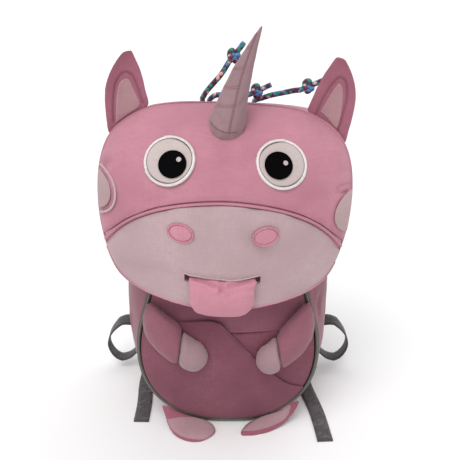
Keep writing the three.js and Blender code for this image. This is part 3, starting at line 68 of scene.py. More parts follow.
# Cords: braided, with the routes that they keep from the seam behind the crown to their knots
CORD_DIAMETER = 4.8 * MM
BRAID_STRANDS = 3.0
BRAID_PITCH = 4.6 * MM
KNOT_RADIUS = 7.2 * MM
KNOT_OVERLAP = 1.5 * MM  # how far the knot's own cord covers the free cord's end
TUFT = 7 * MM
CORDS = {
    "left": {
        "knot": (5, -13, 350.8), "stub": (0.62, -0.02, 0.78),
        "route": [
            (-24, 48.6, 296.5), (-24, 44, 298.1), (-24, 38, 300.2), (-23.9, 32, 302.3),
            (-23.8, 26, 304.2), (-23.6, 20, 306), (-23.4, 14, 307.7), (-23.1, 8.5, 309.3),
            (-22.7, 3, 311), (-21.8, -2.2, 313.5), (-19.8, -7, 317.7), (-16.4, -10.4, 322.6),
            (-12.3, -12.4, 327.6), (-8, -13.4, 332.6), (-3.9, -13.7, 338.1), (0.27, -12.95, 344.8),
        ],
    },
    "middle": {
        "knot": (25.8, 6, 316.2), "stub": (0.8, -0.1, 0.4),
        "route": [
            (-17.4, 48.6, 296.5), (-17.4, 44, 298.1), (-17.4, 38, 300.2), (-17.2, 32, 302.3),
            (-16.7, 26.4, 304.2), (-15.7, 21, 306.4), (-13.9, 16.4, 308.9), (-11.1, 12.4, 311.1),
            (-7.3, 9.4, 312.4), (-2.8, 7.6, 312.8), (1.9, 6.9, 312.5), (6.4, 6.7, 312.2),
            (10.7, 6.8, 312.3), (14.7, 6.9, 312.6), (18.65, 6.84, 312.9),
        ],
    },
    "right": {
        "knot": (70.2, -9.6, 323.8), "stub": (0.86, -0.2, 0.42),
        "route": [
            (24.9, 48.6, 296.5), (24.9, 44, 298.1), (24.9, 38, 300.1), (25, 32, 302),
            (25.4, 26.4, 303.7), (26.3, 21.2, 305.3), (28, 16.8, 306.8), (30.7, 13, 308.4),
            (34.1, 9.9, 310.3), (38.2, 6.6, 312.4), (43, 3.6, 314.2), (48, 0.6, 315.9),
            (53, -2.4, 317.6), (58, -5.2, 319.3), (63.49, -8.04, 320.52),
        ],
    },
}


# Camera, light and floor


def placed(name, data):
    """A new object in the scene."""
    new = bpy.data.objects.new(name, data)
    bpy.context.scene.collection.objects.link(new)
    return new


def make_camera():
    data = bpy.data.cameras.new("camera")
    data.sensor_width = SENSOR
    data.lens = SENSOR * FOCAL_PIXELS / PHOTO_PIXELS
    data.shift_x = (PHOTO_PIXELS / 2 - AXIS_PIXEL[0]) / PHOTO_PIXELS
    data.shift_y = (AXIS_PIXEL[1] - PHOTO_PIXELS / 2) / PHOTO_PIXELS
    camera = placed("camera", data)
    camera.location = CAMERA_AT
    camera.rotation_euler = (math.pi / 2 - LOOKS_DOWN, 0, 0)
    bpy.context.scene.camera = camera


def photo_ray(pixel):
    """The direction from the camera through a pixel of the photograph."""
    across = (pixel[0] - AXIS_PIXEL[0]) / FOCAL_PIXELS
    up = (AXIS_PIXEL[1] - pixel[1]) / FOCAL_PIXELS
    return (FORWARD + Vector((across, 0, 0)) + ABOVE * up).normalized()


def photo_pixel(place):
    """The pixel of the photograph in which a place shows."""
    reach = place - CAMERA_AT
    scale = FOCAL_PIXELS / reach.dot(FORWARD)
    return AXIS_PIXEL[0] + scale * reach.x, AXIS_PIXEL[1] - scale * reach.dot(ABOVE)


def soft_sun(name, place, softness, strength):
    """Even light from the direction of a place, with shadows as soft as its angle in degrees."""
    data = bpy.data.lights.new(name, "SUN")
    data.angle = math.radians(softness)
    data.energy = strength
    light = placed(name, data)
    light.location = place
    light.rotation_euler = (-Vector(place)).to_track_quat("-Z", "Y").to_euler()


def make_studio():
    scene = bpy.context.scene
    scene.view_settings.view_transform = "Standard"
    world = bpy.data.worlds.new("studio")
    world.use_nodes = True
    background = world.node_tree.nodes["Background"]
    background.inputs["Color"].default_value = (1, 1, 1, 1)
    background.inputs["Strength"].default_value = SKY
    scene.world = world
    soft_sun("key", *KEY_SUN)
    soft_sun("rim", *RIM_SUN)
    bpy.ops.mesh.primitive_plane_add(size=FLOOR_SIZE)
    floor = bpy.context.object
    floor.name = "floor"
    material = bpy.data.materials.new("pale_floor")
    material.use_nodes = True
    shader = material.node_tree.nodes["Principled BSDF"]
    shader.inputs["Base Color"].default_value = FLOOR_COLOUR
    shader.inputs["Roughness"].default_value = 0.9
    floor.data.materials.append(material)


# Materials


def srgb(hexadecimal):
    """A colour written as six hexadecimal digits, in linear light."""
    parts = [int(hexadecimal[i:i + 2], 16) / 255 for i in (0, 2, 4)]
    return [c / 12.92 if c <= 0.04045 else ((c + 0.055) / 1.055) ** 2.4 for c in parts] + [1]


class Tree:
    """A tree of nodes, with short calls that add them and set or link what goes into them."""

    def __init__(self, tree):
        self.tree = tree

    def set(self, node, values):
        for key, value in values.items():
            if hasattr(value, "is_linked"):
                self.tree.links.new(value, node.inputs[key])
            else:
                node.inputs[key].default_value = value

    def add(self, kind, inputs=None, **options):
        node = self.tree.nodes.new(kind)
        for key, value in options.items():
            setattr(node, key, value)
        self.set(node, inputs or {})
        return node

    def out(self, kind, inputs=None, **options):
        """The first output of a new node."""
        return self.add(kind, inputs, **options).outputs[0]


class Nodes(Tree):
    """A material's nodes."""

    def __init__(self, name, roughness, sheen=0.0, specular=0.3, metallic=0.0):
        self.material = bpy.data.materials.new(name)
        self.material.use_nodes = True
        super().__init__(self.material.node_tree)
        self.shader = self.tree.nodes["Principled BSDF"]
        self.set(self.shader, {
            "Roughness": roughness, "Sheen Weight": sheen, "Sheen Roughness": 0.45,
            "Specular IOR Level": specular, "Metallic": metallic,
        })
        self.place = self.add("ShaderNodeTexCoord").outputs["Object"]

    def math(self, operation, a, b=0.0):
        return self.out("ShaderNodeMath", {0: a, 1: b}, operation=operation)

    def times(self, a, b):
        return self.math("MULTIPLY", a, b)

    def mix(self, factor, a, b, kind="MIX"):
        node = self.add("ShaderNodeMix", data_type="RGBA", blend_type=kind)
        self.set(node, {0: factor, 6: a, 7: b})
        return node.outputs[2]

    def noise(self, scale, detail=3.0, vector=None):
        inputs = {"Vector": vector or self.place, "Scale": scale, "Detail": detail}
        return self.add("ShaderNodeTexNoise", inputs).outputs["Fac"]

    def spread(self, value, low, high):
        """A value stretched from low..high to 0..1."""
        inputs = {"Value": value, "From Min": low, "From Max": high}
        return self.out("ShaderNodeMapRange", inputs)

    def attribute(self, name):
        return self.add("ShaderNodeAttribute", attribute_name=name).outputs["Fac"]

    def weave(self, pitch, turn=0.0):
        """Crossed threads of one pitch, from 0 between them to 1 on top of them."""
        rotation = (0, math.radians(turn), math.radians(35))
        mapped = self.out("ShaderNodeMapping", {"Vector": self.place, "Rotation": rotation})
        scale = math.pi / 10 / pitch
        bands = [
            self.add("ShaderNodeTexWave", {"Vector": mapped, "Scale": scale, "Distortion": 0.6},
                     bands_direction=direction).outputs["Fac"]
            for direction in ("X", "Z")
        ]
        return self.math("MAXIMUM", *bands)

    def slubs(self, along, across, turn=0.0):
        """Uneven threads: noise drawn out along the weft."""
        mapped = self.add("ShaderNodeMapping", {
            "Vector": self.place, "Rotation": (0, math.radians(turn), 0), "Scale": (along, along, across),
        }).outputs[0]
        return self.spread(self.noise(1.0, 2, mapped), 0.3, 0.7)

    def bump(self, height, distance, strength, after=None):
        inputs = {"Height": height, "Distance": distance, "Strength": strength}
        if after is not None:
            inputs["Normal"] = after
        return self.out("ShaderNodeBump", inputs)

    def finish(self, colour, normal):
        self.set(self.shader, {"Base Color": colour, "Normal": normal})
        return self.material


def woven(name, light, dark, pitch=0.9 * MM, roughness=0.82, sheen=0.25, relief=1.0, specular=0.2):
    """Woven polyester: mottled colour, crossed threads and soft puckers, with painted shade between its
    threads and near its seams, creases and folded edges.
    """
    cloth = Nodes(name, roughness, sheen, specular)
    threads = cloth.weave(pitch)
    melange = cloth.spread(cloth.noise(1100, 2), 0.35, 0.65)
    patches = cloth.spread(cloth.noise(16, 4), 0.3, 0.7)
    colour = cloth.mix(patches, srgb(light), srgb(dark))
    wefts = cloth.mix(0.5, cloth.slubs(110, 640), cloth.slubs(700, 90, 12), "LINEAR_LIGHT")
    uneven = cloth.mix(cloth.times(cloth.spread(wefts, 0.2, 0.9), 0.38), colour, srgb(dark))
    worn = cloth.mix(cloth.times(melange, 0.22), uneven, srgb(dark))
    shaded = cloth.mix(cloth.times(cloth.math("SUBTRACT", 1.0, threads), 0.22), worn, srgb(dark))
    # Painted shade: the seam attribute darkens the cloth in seam grooves, crease valleys and near folded
    # edges.
    seam = cloth.times(cloth.attribute("seam"), 0.5)
    sewn = cloth.mix(seam, shaded, cloth.mix(1.0, srgb(dark), (0.62, 0.5, 0.54, 1), "MULTIPLY"))
    soft = cloth.bump(cloth.noise(60, 4), 0.6 * MM, 0.35 * relief)
    fine = cloth.bump(threads, 0.12 * MM, 0.5 * relief, soft)
    return cloth.finish(sewn, fine)


def embroidered(name, light, dark, roughness=0.45):
    """Satin stitched thread, with the strands' own sheen."""
    thread = Nodes(name, roughness, 0.3, 0.45)
    strands = thread.noise(1500, 2)
    colour = thread.mix(thread.spread(strands, 0.3, 0.7), srgb(light), srgb(dark))
    return thread.finish(colour, thread.bump(strands, 0.1 * MM, 0.5))


def webbing_material():
    """Ribbed webbing: ribs run across the strap, at an even pitch along it."""
    tape = Nodes("ribbed_webbing", 0.75, 0.3)
    along = tape.attribute("along")
    rib = tape.math("SINE", tape.times(along, 2 * math.pi / (1.7 * MM)))
    rib = tape.spread(rib, -1.0, 1.0)
    fleck = tape.noise(900, 3)
    # Painted shade: the webbing is darker in the troughs between its ribs than on their crests.
    colour = tape.mix(rib, srgb("2b2729"), srgb("514b4d"))
    colour = tape.mix(tape.spread(fleck, 0.35, 0.7), colour, srgb("5d5759"))
    first = tape.bump(rib, 0.35 * MM, 0.7)
    return tape.finish(colour, tape.bump(fleck, 0.12 * MM, 0.5, first))


def braid_material():
    """Braided cord: strands cross in diamonds round it, plum with green, blue and pale flecks."""
    cord = Nodes("braided_cord", 0.6, 0.3)
    flat = cord.out("ShaderNodeUVMap", uv_map="braid")
    split = cord.add("ShaderNodeSeparateXYZ", {"Vector": flat})
    around, along = split.outputs[0], split.outputs[1]
    strands = cord.times(around, BRAID_STRANDS)
    ways = [cord.math("ADD", strands, along), cord.math("SUBTRACT", strands, along)]
    cells = [cord.math("FLOOR", way) for way in ways]
    offs = [cord.math("SUBTRACT", way, cell) for way, cell in zip(ways, cells)]
    wrapped = cord.math("FLOORED_MODULO", cells[0], BRAID_STRANDS)
    key = cord.out("ShaderNodeCombineXYZ", {0: wrapped, 1: cord.math("SUBTRACT", *cells)})
    pick = cord.add("ShaderNodeTexWhiteNoise", {"Vector": key}).outputs["Value"]
    ramp = cord.add("ShaderNodeValToRGB", {"Fac": pick})
    ramp.color_ramp.interpolation = "CONSTANT"
    stops = [(0.0, "5c1f49"), (0.46, "2f8a74"), (0.64, "4f86c0"), (0.82, "6b2352"), (0.92, "e3b3b1")]
    ramp.color_ramp.elements[1].position = 0.5
    while len(ramp.color_ramp.elements) < len(stops):
        ramp.color_ramp.elements.new(0.7)
    for element, (position, colour) in zip(ramp.color_ramp.elements, stops):
        element.position = position
        element.color = srgb(colour)
    humps = [cord.math("SINE", cord.times(off, math.pi)) for off in offs]
    height = cord.times(*humps)
    # Painted shade: the cord turns near black in the grooves between its strands and lighter on their humps.
    lit = cord.math("MINIMUM", cord.math("ADD", cord.times(height, 2.2), 0.35), 1.0)
    colour = cord.mix(lit, srgb("1c0a17"), ramp.outputs[0])
    return cord.finish(colour, cord.bump(height, 0.5 * MM, 0.8))


def plastic_material():
    moulded = Nodes("moulded_plastic", 0.42, 0.0, 0.5)
    grain = moulded.noise(1400, 2)
    colour = moulded.mix(moulded.noise(40, 2), srgb("161516"), srgb("262425"))
    return moulded.finish(colour, moulded.bump(grain, 0.05 * MM, 0.4))


def reflective_material(name, light, dark, roughness):
    strip = Nodes(name, roughness, 0.0, 0.6, 0.35)
    beads = strip.noise(1800, 2)
    colour = strip.mix(strip.noise(70, 3), srgb(light), srgb(dark))
    return strip.finish(colour, strip.bump(beads, 0.06 * MM, 0.4))


FINISHES = {
    "pink": woven("pink_cloth", "c98c9c", "b37888"),
    "deep": woven("deep_pink_cloth", "9d6676", "845061"),
    "belly": woven("belly_cloth", "905a69", "744151"),
    "gusset": woven("side_cloth", "9a6473", "83515f"),
    "pale": woven("pale_cloth", "c4abaf", "b0959a"),
    "rose": woven("rose_cloth", "d193a2", "bd7e8e"),
    "grey_pale": woven("grey_pale_cloth", "bfa4a6", "ab9092"),
    "hand": woven("hand_cloth", "a98c91", "977a80"),
    "foot": woven("foot_cloth", "ac6a7b", "904f60"),
    "toe": woven("toe_cloth", "b59299", "a07c84"),
    "ear": woven("ear_cloth", "b27585", "9b6070"),
    "ear_inner": woven("ear_inner_cloth", "bd979c", "a98187"),
    "horn": woven("horn_cloth", "a6878c", "8f7378"),
    "eye": woven("eye_cloth", "cdbfbb", "bbadaa", pitch=0.6 * MM, relief=0.5),
    "pupil": woven("pupil_cloth", "08080a", "030304", roughness=0.9, sheen=0.0, relief=0.4, specular=0.05),
    "white": embroidered("white_thread", "efeae8", "cbc4c1"),
    "rose_thread": embroidered("rose_thread", "d995a6", "b86f80", 0.5),
    "pale_thread": embroidered("pale_thread", "c9b3b5", "a89295", 0.6),
    "plum_thread": embroidered("plum_thread", "85465a", "673144", 0.6),
    "webbing_thread": embroidered("webbing_thread", "6d6769", "3d383a", 0.7),
    "grey_thread": embroidered("grey_thread", "6b6763", "4a4744", 0.6),
    "webbing": webbing_material(),
    "braid": braid_material(),
    "plastic": plastic_material(),
    "piping": reflective_material("piping_edge", "3a3631", "26221f", 0.6),
    "strip": reflective_material("reflective_strip", "7c786f", "5f5b54", 0.4),
}


# Meshes


def made(name, mesh, finish):
    """A finished object from a mesh, smooth and in its place."""
    piece = placed(name, mesh)
    mesh.materials.clear()
    mesh.materials.append(FINISHES[finish])
    return made_smooth(piece)


def baked(piece):
    """The piece with its modifiers turned into a plain mesh."""
    graph = bpy.context.evaluated_depsgraph_get()
    mesh = bpy.data.meshes.new_from_object(piece.evaluated_get(graph))
    mesh.name = piece.name
    piece.modifiers.clear()
    piece.data = mesh
    return piece


def refined(node, name, finish, levels=2, sharp=38, crease=0.8):
    """A fine copy of a solid: its triangles paired, its folded edges kept, its faces subdivided."""
    grid = bmesh.new()
    grid.from_mesh(NODES[node].data)
    bmesh.ops.remove_doubles(grid, verts=grid.verts, dist=0.01 * MM)
    bmesh.ops.join_triangles(grid, faces=grid.faces, angle_face_threshold=math.radians(50),
                             angle_shape_threshold=math.radians(70))
    layer = grid.edges.layers.float.new("crease_edge")
    for edge in grid.edges:
        if edge.is_manifold and edge.calc_face_angle(0) > math.radians(sharp):
            edge[layer] = crease
    piece = made(name, mesh_of(grid, name), finish)
    surface = piece.modifiers.new("fine", "SUBSURF")
    surface.levels = surface.render_levels = levels
    baked(piece)
    return made_smooth(piece)


def made_smooth(piece):
    piece.data.polygons.foreach_set("use_smooth", [True] * len(piece.data.polygons))
    return piece


def points_of(mesh):
    places = np.empty(len(mesh.vertices) * 3, np.float32)
    mesh.vertices.foreach_get("co", places)
    return places.reshape(-1, 3)


def normals_of(mesh):
    normals = np.empty(len(mesh.vertices) * 3, np.float32)
    mesh.vertices.foreach_get("normal", normals)
    return normals.reshape(-1, 3)


def store(mesh, name, values, kind="FLOAT", key="value"):
    layer = mesh.attributes.new(name, kind, "POINT")
    layer.data.foreach_set(key, np.asarray(values, np.float32).ravel())


def move_to(piece, places):
    piece.data.vertices.foreach_set("co", places.ravel())
    piece.data.update()


def push(piece, heights):
    """Moves each point of a piece along its own outward direction."""
    mesh = piece.data
    move_to(piece, points_of(mesh) + normals_of(mesh) * np.asarray(heights, np.float32)[:, None])


def point_tree(places):
    near = KDTree(len(places))
    for index, place in enumerate(places):
        near.insert(place, index)
    near.balance()
    return near


def fold_distance(piece, angle=50):
    """How far each point lies from the nearest folded edge of its piece."""
    grid = bmesh.new()
    grid.from_mesh(piece.data)
    folds = [e for e in grid.edges if e.is_manifold and e.calc_face_angle(0) > math.radians(angle)]
    places = [(e.verts[0].co + e.verts[1].co) / 2 for e in folds]
    grid.free()
    if not places:
        return np.full(len(piece.data.vertices), 1.0)
    near = point_tree(places)
    return np.array([near.find(vertex.co)[2] for vertex in piece.data.vertices])


DENTS = {  # the size and the depth of each piece's dents in millimetres, and their seed
    "upper_face": (46, 1.7, 1), "muzzle_cover": (50, 1.5, 2), "crown_cover": (34, 1.0, 3),
    "tongue_pad": (26, 0.8, 5), "horn_cover": (18, 0.5, 6),
    "ear_pad_left": (24, 0.7, 8), "ear_pad_right": (24, 0.7, 9),
    "arm_pad_left": (22, 1.0, 11), "arm_pad_right": (22, 1.0, 12),
    "hand_pad_left": (18, 0.5, 14), "hand_pad_right": (18, 0.5, 15),
    "foot_pad_left": (18, 0.5, 17), "foot_pad_right": (18, 0.5, 18),
    "belly_cover": (50, 1.2, 20), "side_cover": (40, 1.3, 21), "back_pad": (44, 1.0, 22),
    "strap_pad_left": (26, 0.6, 30), "strap_pad_right": (26, 0.6, 30),
}
CALM = 7 * MM  # how near a folded edge the dents start to fade


def dented(piece):
    """Soft uneven padding: smooth dents that fade out towards the sewn edges."""
    size, depth, seed = DENTS[piece.name]
    size, depth = size * MM, depth * MM
    offset = Vector((seed * 7.3, seed * 3.1, seed * 5.7))
    dents = np.array([
        noise.noise(vertex.co / size + offset) + noise.noise(vertex.co / (0.4 * size) + offset) * 0.35
        for vertex in piece.data.vertices
    ])
    push(piece, depth * dents * np.clip(fold_distance(piece) / CALM, 0, 1) ** 1.5)


ROUNDED = {"upper_face": 1.1, "muzzle_cover": 1.0}  # how far a rim falls away, in millimetres
ROUNDED_WIDTH = 4 * MM


def rounded_edge(piece):
    """Lets a padded piece fall away softly towards the seam that it is sewn into."""
    distance = fold_distance(piece)
    drop = ROUNDED[piece.name] * MM
    push(piece, -drop * np.exp(-distance / ROUNDED_WIDTH) * np.clip(distance / (0.4 * ROUNDED_WIDTH), 0, 1))


def swollen(pieces, voxel, cap, pressure=4.0, slack=-0.05):
    """Pads pieces out as cloth under pressure, with slack for wrinkles; no point moves past the cap."""
    starts = []
    for piece in pieces:
        even = piece.modifiers.new("even", "REMESH")
        even.mode = "VOXEL"
        even.voxel_size = voxel
        baked(piece)
        push(piece, [-0.35 * cap] * len(piece.data.vertices))
        starts.append(points_of(piece.data).copy())
        cloth = piece.modifiers.new("cloth", "CLOTH")
        cloth.settings.use_pressure = True
        cloth.settings.uniform_pressure_force = pressure
        cloth.settings.shrink_min = slack
        cloth.settings.effector_weights.gravity = 0
    for step in range(1, SIMULATED_FRAMES + 1):
        bpy.context.scene.frame_set(step)
    for piece, start in zip(pieces, starts):
        baked(piece)
        moves = points_of(piece.data) - start
        lengths = np.linalg.norm(moves, axis=1, keepdims=True)
        moves *= np.minimum(1, cap / np.maximum(lengths, 1e-9))
        move_to(piece, start + moves)
        fine = piece.modifiers.new("fine", "SUBSURF")
        fine.levels = fine.render_levels = 2
        baked(piece)
        made_smooth(piece)
    bpy.context.scene.frame_set(1)


def tree_of(piece):
    return BVHTree.FromObject(piece, bpy.context.evaluated_depsgraph_get())


def dropped(tree, pixel):
    """Where a pixel of the photograph falls on a piece, and the outward direction there."""
    return tree.ray_cast(CAMERA_AT, photo_ray(pixel))[:2]


def traced(piece, pixels, spacing=1.2 * MM, lift=0.0):
    """A line of pixels of the photograph dropped onto a piece: its places and outward directions."""
    tree = tree_of(piece)
    hits = []
    curve = smooth_line([Vector((u, v, 0)) for u, v in pixels], 1.0)
    for pixel in curve:
        place, normal = dropped(tree, pixel)
        if place is not None:
            hits.append((place + normal * lift, normal))
    return thinned(hits, spacing)


PATCH_HEIGHT = 0.7 * MM
PATCH_MARGIN = 0.03  # share of its breadth by which a patch keeps inside its outline
PATCH_RINGS = (0.03, 0.96, 12)  # shares of the breadth from its first ring to its last, and their number


def appliqued(name, piece, outline, finish):
    """A patch of cloth sewn onto a piece, inside an outline of pixels of the photograph."""
    tree = tree_of(piece)
    corners = [Vector((u, v, 0)) for u, v in outline]
    middle = sum(corners, Vector()) / len(corners)
    rim = []
    for pixel in smooth_line(corners + corners[:1], 1.0)[:-1]:
        while dropped(tree, pixel)[0] is None:
            pixel = pixel.lerp(middle, 0.02)
        rim.append(pixel.lerp(middle, PATCH_MARGIN))
    shares = list(np.linspace(*PATCH_RINGS))
    levels = [(share, PATCH_HEIGHT) for share in shares] + [(1.0, 0.3 * PATCH_HEIGHT)]
    levels += [(share, -PATCH_HEIGHT) for share in reversed(shares)]
    grid = bmesh.new()
    rings = []
    for share, lift in levels:
        ring = []
        for pixel in rim:
            place, normal = dropped(tree, middle.lerp(pixel, share))
            ring.append(grid.verts.new(place + normal * lift))
        rings.append(ring)
    for ring, following in zip(rings, rings[1:]):
        for k in range(len(rim)):
            grid.faces.new((ring[k - 1], ring[k], following[k], following[k - 1]))
    grid.faces.new(rings[0])
    grid.faces.new(rings[-1])
    bmesh.ops.recalc_face_normals(grid, faces=grid.faces)
    return made(name, mesh_of(grid, name), finish)


def mesh_of(grid, name):
    mesh = bpy.data.meshes.new(name)
    grid.to_mesh(mesh)
    grid.free()
    return mesh


COLUMNS = 90
LOWEST_ROW, HIGHEST_ROW, ROW_STEP = PHOTO_PIXELS * 0.75, PHOTO_PIXELS * 0.5, 0.4


def lower_outline(piece, first, last):
    """The lowest line of a piece that shows in the photograph, between two of its columns."""
    tree = tree_of(piece)
    hits = []
    for u in np.linspace(first, last, COLUMNS):
        for v in np.arange(LOWEST_ROW, HIGHEST_ROW, -ROW_STEP):
            place, normal = dropped(tree, (u, v))
            if place is not None:
                hits.append((place, normal))
                break
    return thinned(hits, 1.5 * MM)


def thinned(hits, spacing):
    kept = []
    for place, normal in hits:
        if not kept or (place - kept[-1][0]).length >= spacing:
            kept.append((place, normal))
    return kept


def smooth_line(points, step):
    """A centripetal curve through points, as places about a step apart."""
    if len(points) < 3:
        count = max(1, round((points[-1] - points[0]).length / step))
        return [points[0].lerp(points[-1], i / count) for i in range(count + 1)]
    ends = [points[0] * 2 - points[1], *points, points[-1] * 2 - points[-2]]
    places = []
    for a, b, c, d in zip(ends, ends[1:], ends[2:], ends[3:]):
        count = max(1, round((c - b).length / step))
        places += [between(a, b, c, d, i / count) for i in range(count)]
    return [*places, points[-1].copy()]


def between(a, b, c, d, share):
    """A point of the centripetal curve from b to c, with a and d as its neighbours."""
    knots = [0.0]
    for p, q in ((a, b), (b, c), (c, d)):
        knots.append(knots[-1] + max(1e-9, (q - p).length) ** 0.5)
    t = knots[1] + share * (knots[2] - knots[1])

    def blend(p, q, low, high):
        return p + (q - p) * ((t - low) / (high - low))

    first = [blend(p, q, knots[i], knots[i + 1]) for i, (p, q) in enumerate(((a, b), (b, c), (c, d)))]
    second = [blend(first[i], first[i + 1], knots[i], knots[i + 2]) for i in range(2)]
    return blend(second[0], second[1], knots[1], knots[2])


def seam_distance(piece, lines):
    """Each point's distance to the nearest of some lines, its length along that line, and the line's."""
    samples = []
    for line in lines:
        run = 0.0
        fine = smooth_line([place for place, _ in line], 0.7 * MM)
        lengths = [0.0]
        for a, b in zip(fine, fine[1:]):
            run += (b - a).length
            lengths.append(run)
        samples += [(place, length, run) for place, length in zip(fine, lengths)]
    near = point_tree([place for place, _, _ in samples])
    found = [near.find(vertex.co) for vertex in piece.data.vertices]
    distance = np.array([item[2] for item in found])
    along = np.array([samples[item[1]][1] for item in found])
    total = np.array([samples[item[1]][2] for item in found])
    return distance, along, total


def paint_shade(piece, values):
    """Keeps the darkest value of the seam attribute at each point: the painted shade that darkens the cloth.
    """
    layer = piece.data.attributes.get("seam") or piece.data.attributes.new("seam", "FLOAT", "POINT")
    old = np.zeros(len(piece.data.vertices), np.float32)
    layer.data.foreach_get("value", old)
    layer.data.foreach_set("value", np.maximum(old, values.astype(np.float32)))


SEAMS = {  # depth and width of a seam's groove, and height, reach and pitch of its puckers, in millimetres
    "horn_seam": (0.8, 0.9, 0.3, 6, 4), "horn_rings": (0.75, 1.0, 0.25, 4, 4),
    "ear_groove": (0.8, 1.0, 0.3, 5, 4), "cuff": (0.5, 0.9, 0.3, 5, 4),
}


def sewn(piece, lines, seam):
    """Pulls a piece in along its seams, with the small puckers that the thread draws up beside them."""
    depth, width, pucker, reach, pitch = [measure * MM for measure in SEAMS[seam]]
    distance, along, _ = seam_distance(piece, lines)
    groove = np.exp(-((distance / width) ** 2))
    ripple = np.array([noise.noise(Vector((s / pitch, 3.7, 0.4))) for s in along])
    beside = np.exp(-distance / reach) * (1 - groove)
    push(piece, -depth * groove + pucker * ripple * beside)
    # Painted shade in the seam's groove.
    paint_shade(piece, 0.9 * np.exp(-((distance / (1.4 * width)) ** 2)))


FOLDS = {  # depth and width in millimetres, and the lines of pixels
    "cheeks": (1.9, 3.6, [[(357, 183), (346, 188), (335, 191)], [(99, 168), (106, 162), (117, 161)]]),
    "brow": (1.2, 7, [
        [(258, 140), (246, 156), (236, 172)], [(222, 140), (226, 158), (222, 176)],
        [(300, 205), (318, 196), (334, 193)], [(130, 190), (150, 200), (170, 196)],
    ]),
    "muzzle": (0.9, 7, [[(238, 228), (262, 250), (290, 252)], [(120, 262), (150, 270), (176, 268)]]),
    "tongue_middle": (2.6, 2.0, [[(222, 283.5), (222, 289), (221.5, 295)]]),
    "tongue_sides": (1.9, 1.9, [
        [(191, 278), (206, 281.5), (220, 287)], [(253, 280), (239, 283), (224, 287)],
    ]),
    "horn": (0.6, 2, [[(246, 96), (241, 104), (236, 110)], [(216, 112), (222, 121), (226, 130)]]),
    "side": (1.6, 3.4, [[(321, 292), (318, 304), (319, 318)], [(128, 300), (132, 318), (134, 338)]]),
}


def folded(piece, name):
    """Soft creases: a valley along each line between two low rolls, dying away at its ends."""
    depth, width, pixels = FOLDS[name]
    depth, width = depth * MM, width * MM
    for line in [traced(piece, line) for line in pixels]:
        distance, along, total = seam_distance(piece, [line])
        ends = np.sin(np.pi * np.clip(along / total, 0, 1)) ** 0.6
        valley = np.exp(-((distance / width) ** 2))
        roll = np.exp(-(((distance - 2.1 * width) / width) ** 2))
        push(piece, depth * ends * (0.55 * roll - valley))
        # Painted shade in the crease's valley.
        paint_shade(piece, 0.28 * ends * valley)


SHADES = {  # width in millimetres and strength
    "upper_face": (2.2, 0.6), "muzzle_cover": (1.8, 0.5), "crown_cover": (2.2, 0.5), "side_cover": (2, 0.5),
    "back_pad": (2.5, 0.6), "under_wrap": (1.2, 0.5), "over_wrap": (1.2, 0.4),
}


def rim_shaded(piece):
    """Darkens a piece near its folded edges."""
    width, strength = SHADES[piece.name]
    paint_shade(piece, strength * np.exp(-fold_distance(piece) / (width * MM)))


def heading(line, i):
    """The direction of a line at one of its places."""
    return (line[min(i + 1, len(line) - 1)] - line[max(i - 1, 0)]).normalized()


def sweep(name, path, radius, sides, finish, section=None, wide=None):
    """A closed tube or band along a path; section is its outline, wide the direction of its width."""
    outline = section or [
        (radius * math.cos(2 * math.pi * k / sides), radius * math.sin(2 * math.pi * k / sides))
        for k in range(sides)
    ]
    grid = bmesh.new()
    layer = grid.loops.layers.uv.new("braid")
    across = None
    rings, lengths, run = [], [], 0.0
    for i, place in enumerate(path):
        ahead = heading(path, i)
        hint = wide[i] if wide else (across or ahead.orthogonal())
        across = (hint - ahead * hint.dot(ahead)).normalized()
        thick = ahead.cross(across)
        run += (place - path[i - 1]).length if i else 0.0
        lengths.append(run)
        rings.append([grid.verts.new(place + across * a + thick * b) for a, b in outline])
    count = len(outline)
    for i in range(len(rings) - 1):
        for k in range(count):
            n = (k + 1) % count
            face = grid.faces.new((rings[i][k], rings[i][n], rings[i + 1][n], rings[i + 1][k]))
            corners = ((k, i), (k + 1, i), (k + 1, i + 1), (k, i + 1))
            for loop, (a, b) in zip(face.loops, corners):
                loop[layer].uv = (a / count, lengths[b] / BRAID_PITCH)
    grid.faces.new(list(reversed(rings[0])))
    grid.faces.new(rings[-1])
    bmesh.ops.recalc_face_normals(grid, faces=grid.faces)
    mesh = mesh_of(grid, name)
    store(mesh, "along", np.repeat(lengths, count))
    return made(name, mesh, finish)


BINDINGS = {  # radius in millimetres and finish
    "muzzle_binding": (0.7, "rose"), "lip_binding": (0.65, "pale_thread"), "wrap_edge": (0.6, "gusset"),
}


def bound(name, edge):
    """A rolled edge of cloth along a traced line."""
    radius, finish = BINDINGS[name]
    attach(sweep(name, [place for place, _ in edge], radius * MM, 10, finish), "root")


def spine(node, near=6 * MM):
    """The middle line of a tube's solid: the middles of its rings, in order from one end."""
    left = [v.co.copy() for v in NODES[node].data.vertices]
    middles = []
    while left:
        seed = left[0]
        group = [p for p in left if (p - seed).length < near]
        left = [p for p in left if (p - seed).length >= near]
        middles.append(sum(group, Vector()) / len(group))
    line = [max(middles, key=lambda p: sorted((q - p).length for q in middles)[2])]
    middles.remove(line[0])
    while middles:
        line.append(min(middles, key=lambda q: (q - line[-1]).length))
        middles.remove(line[-1])
    return line


# Stitches, as a tree of geometry nodes


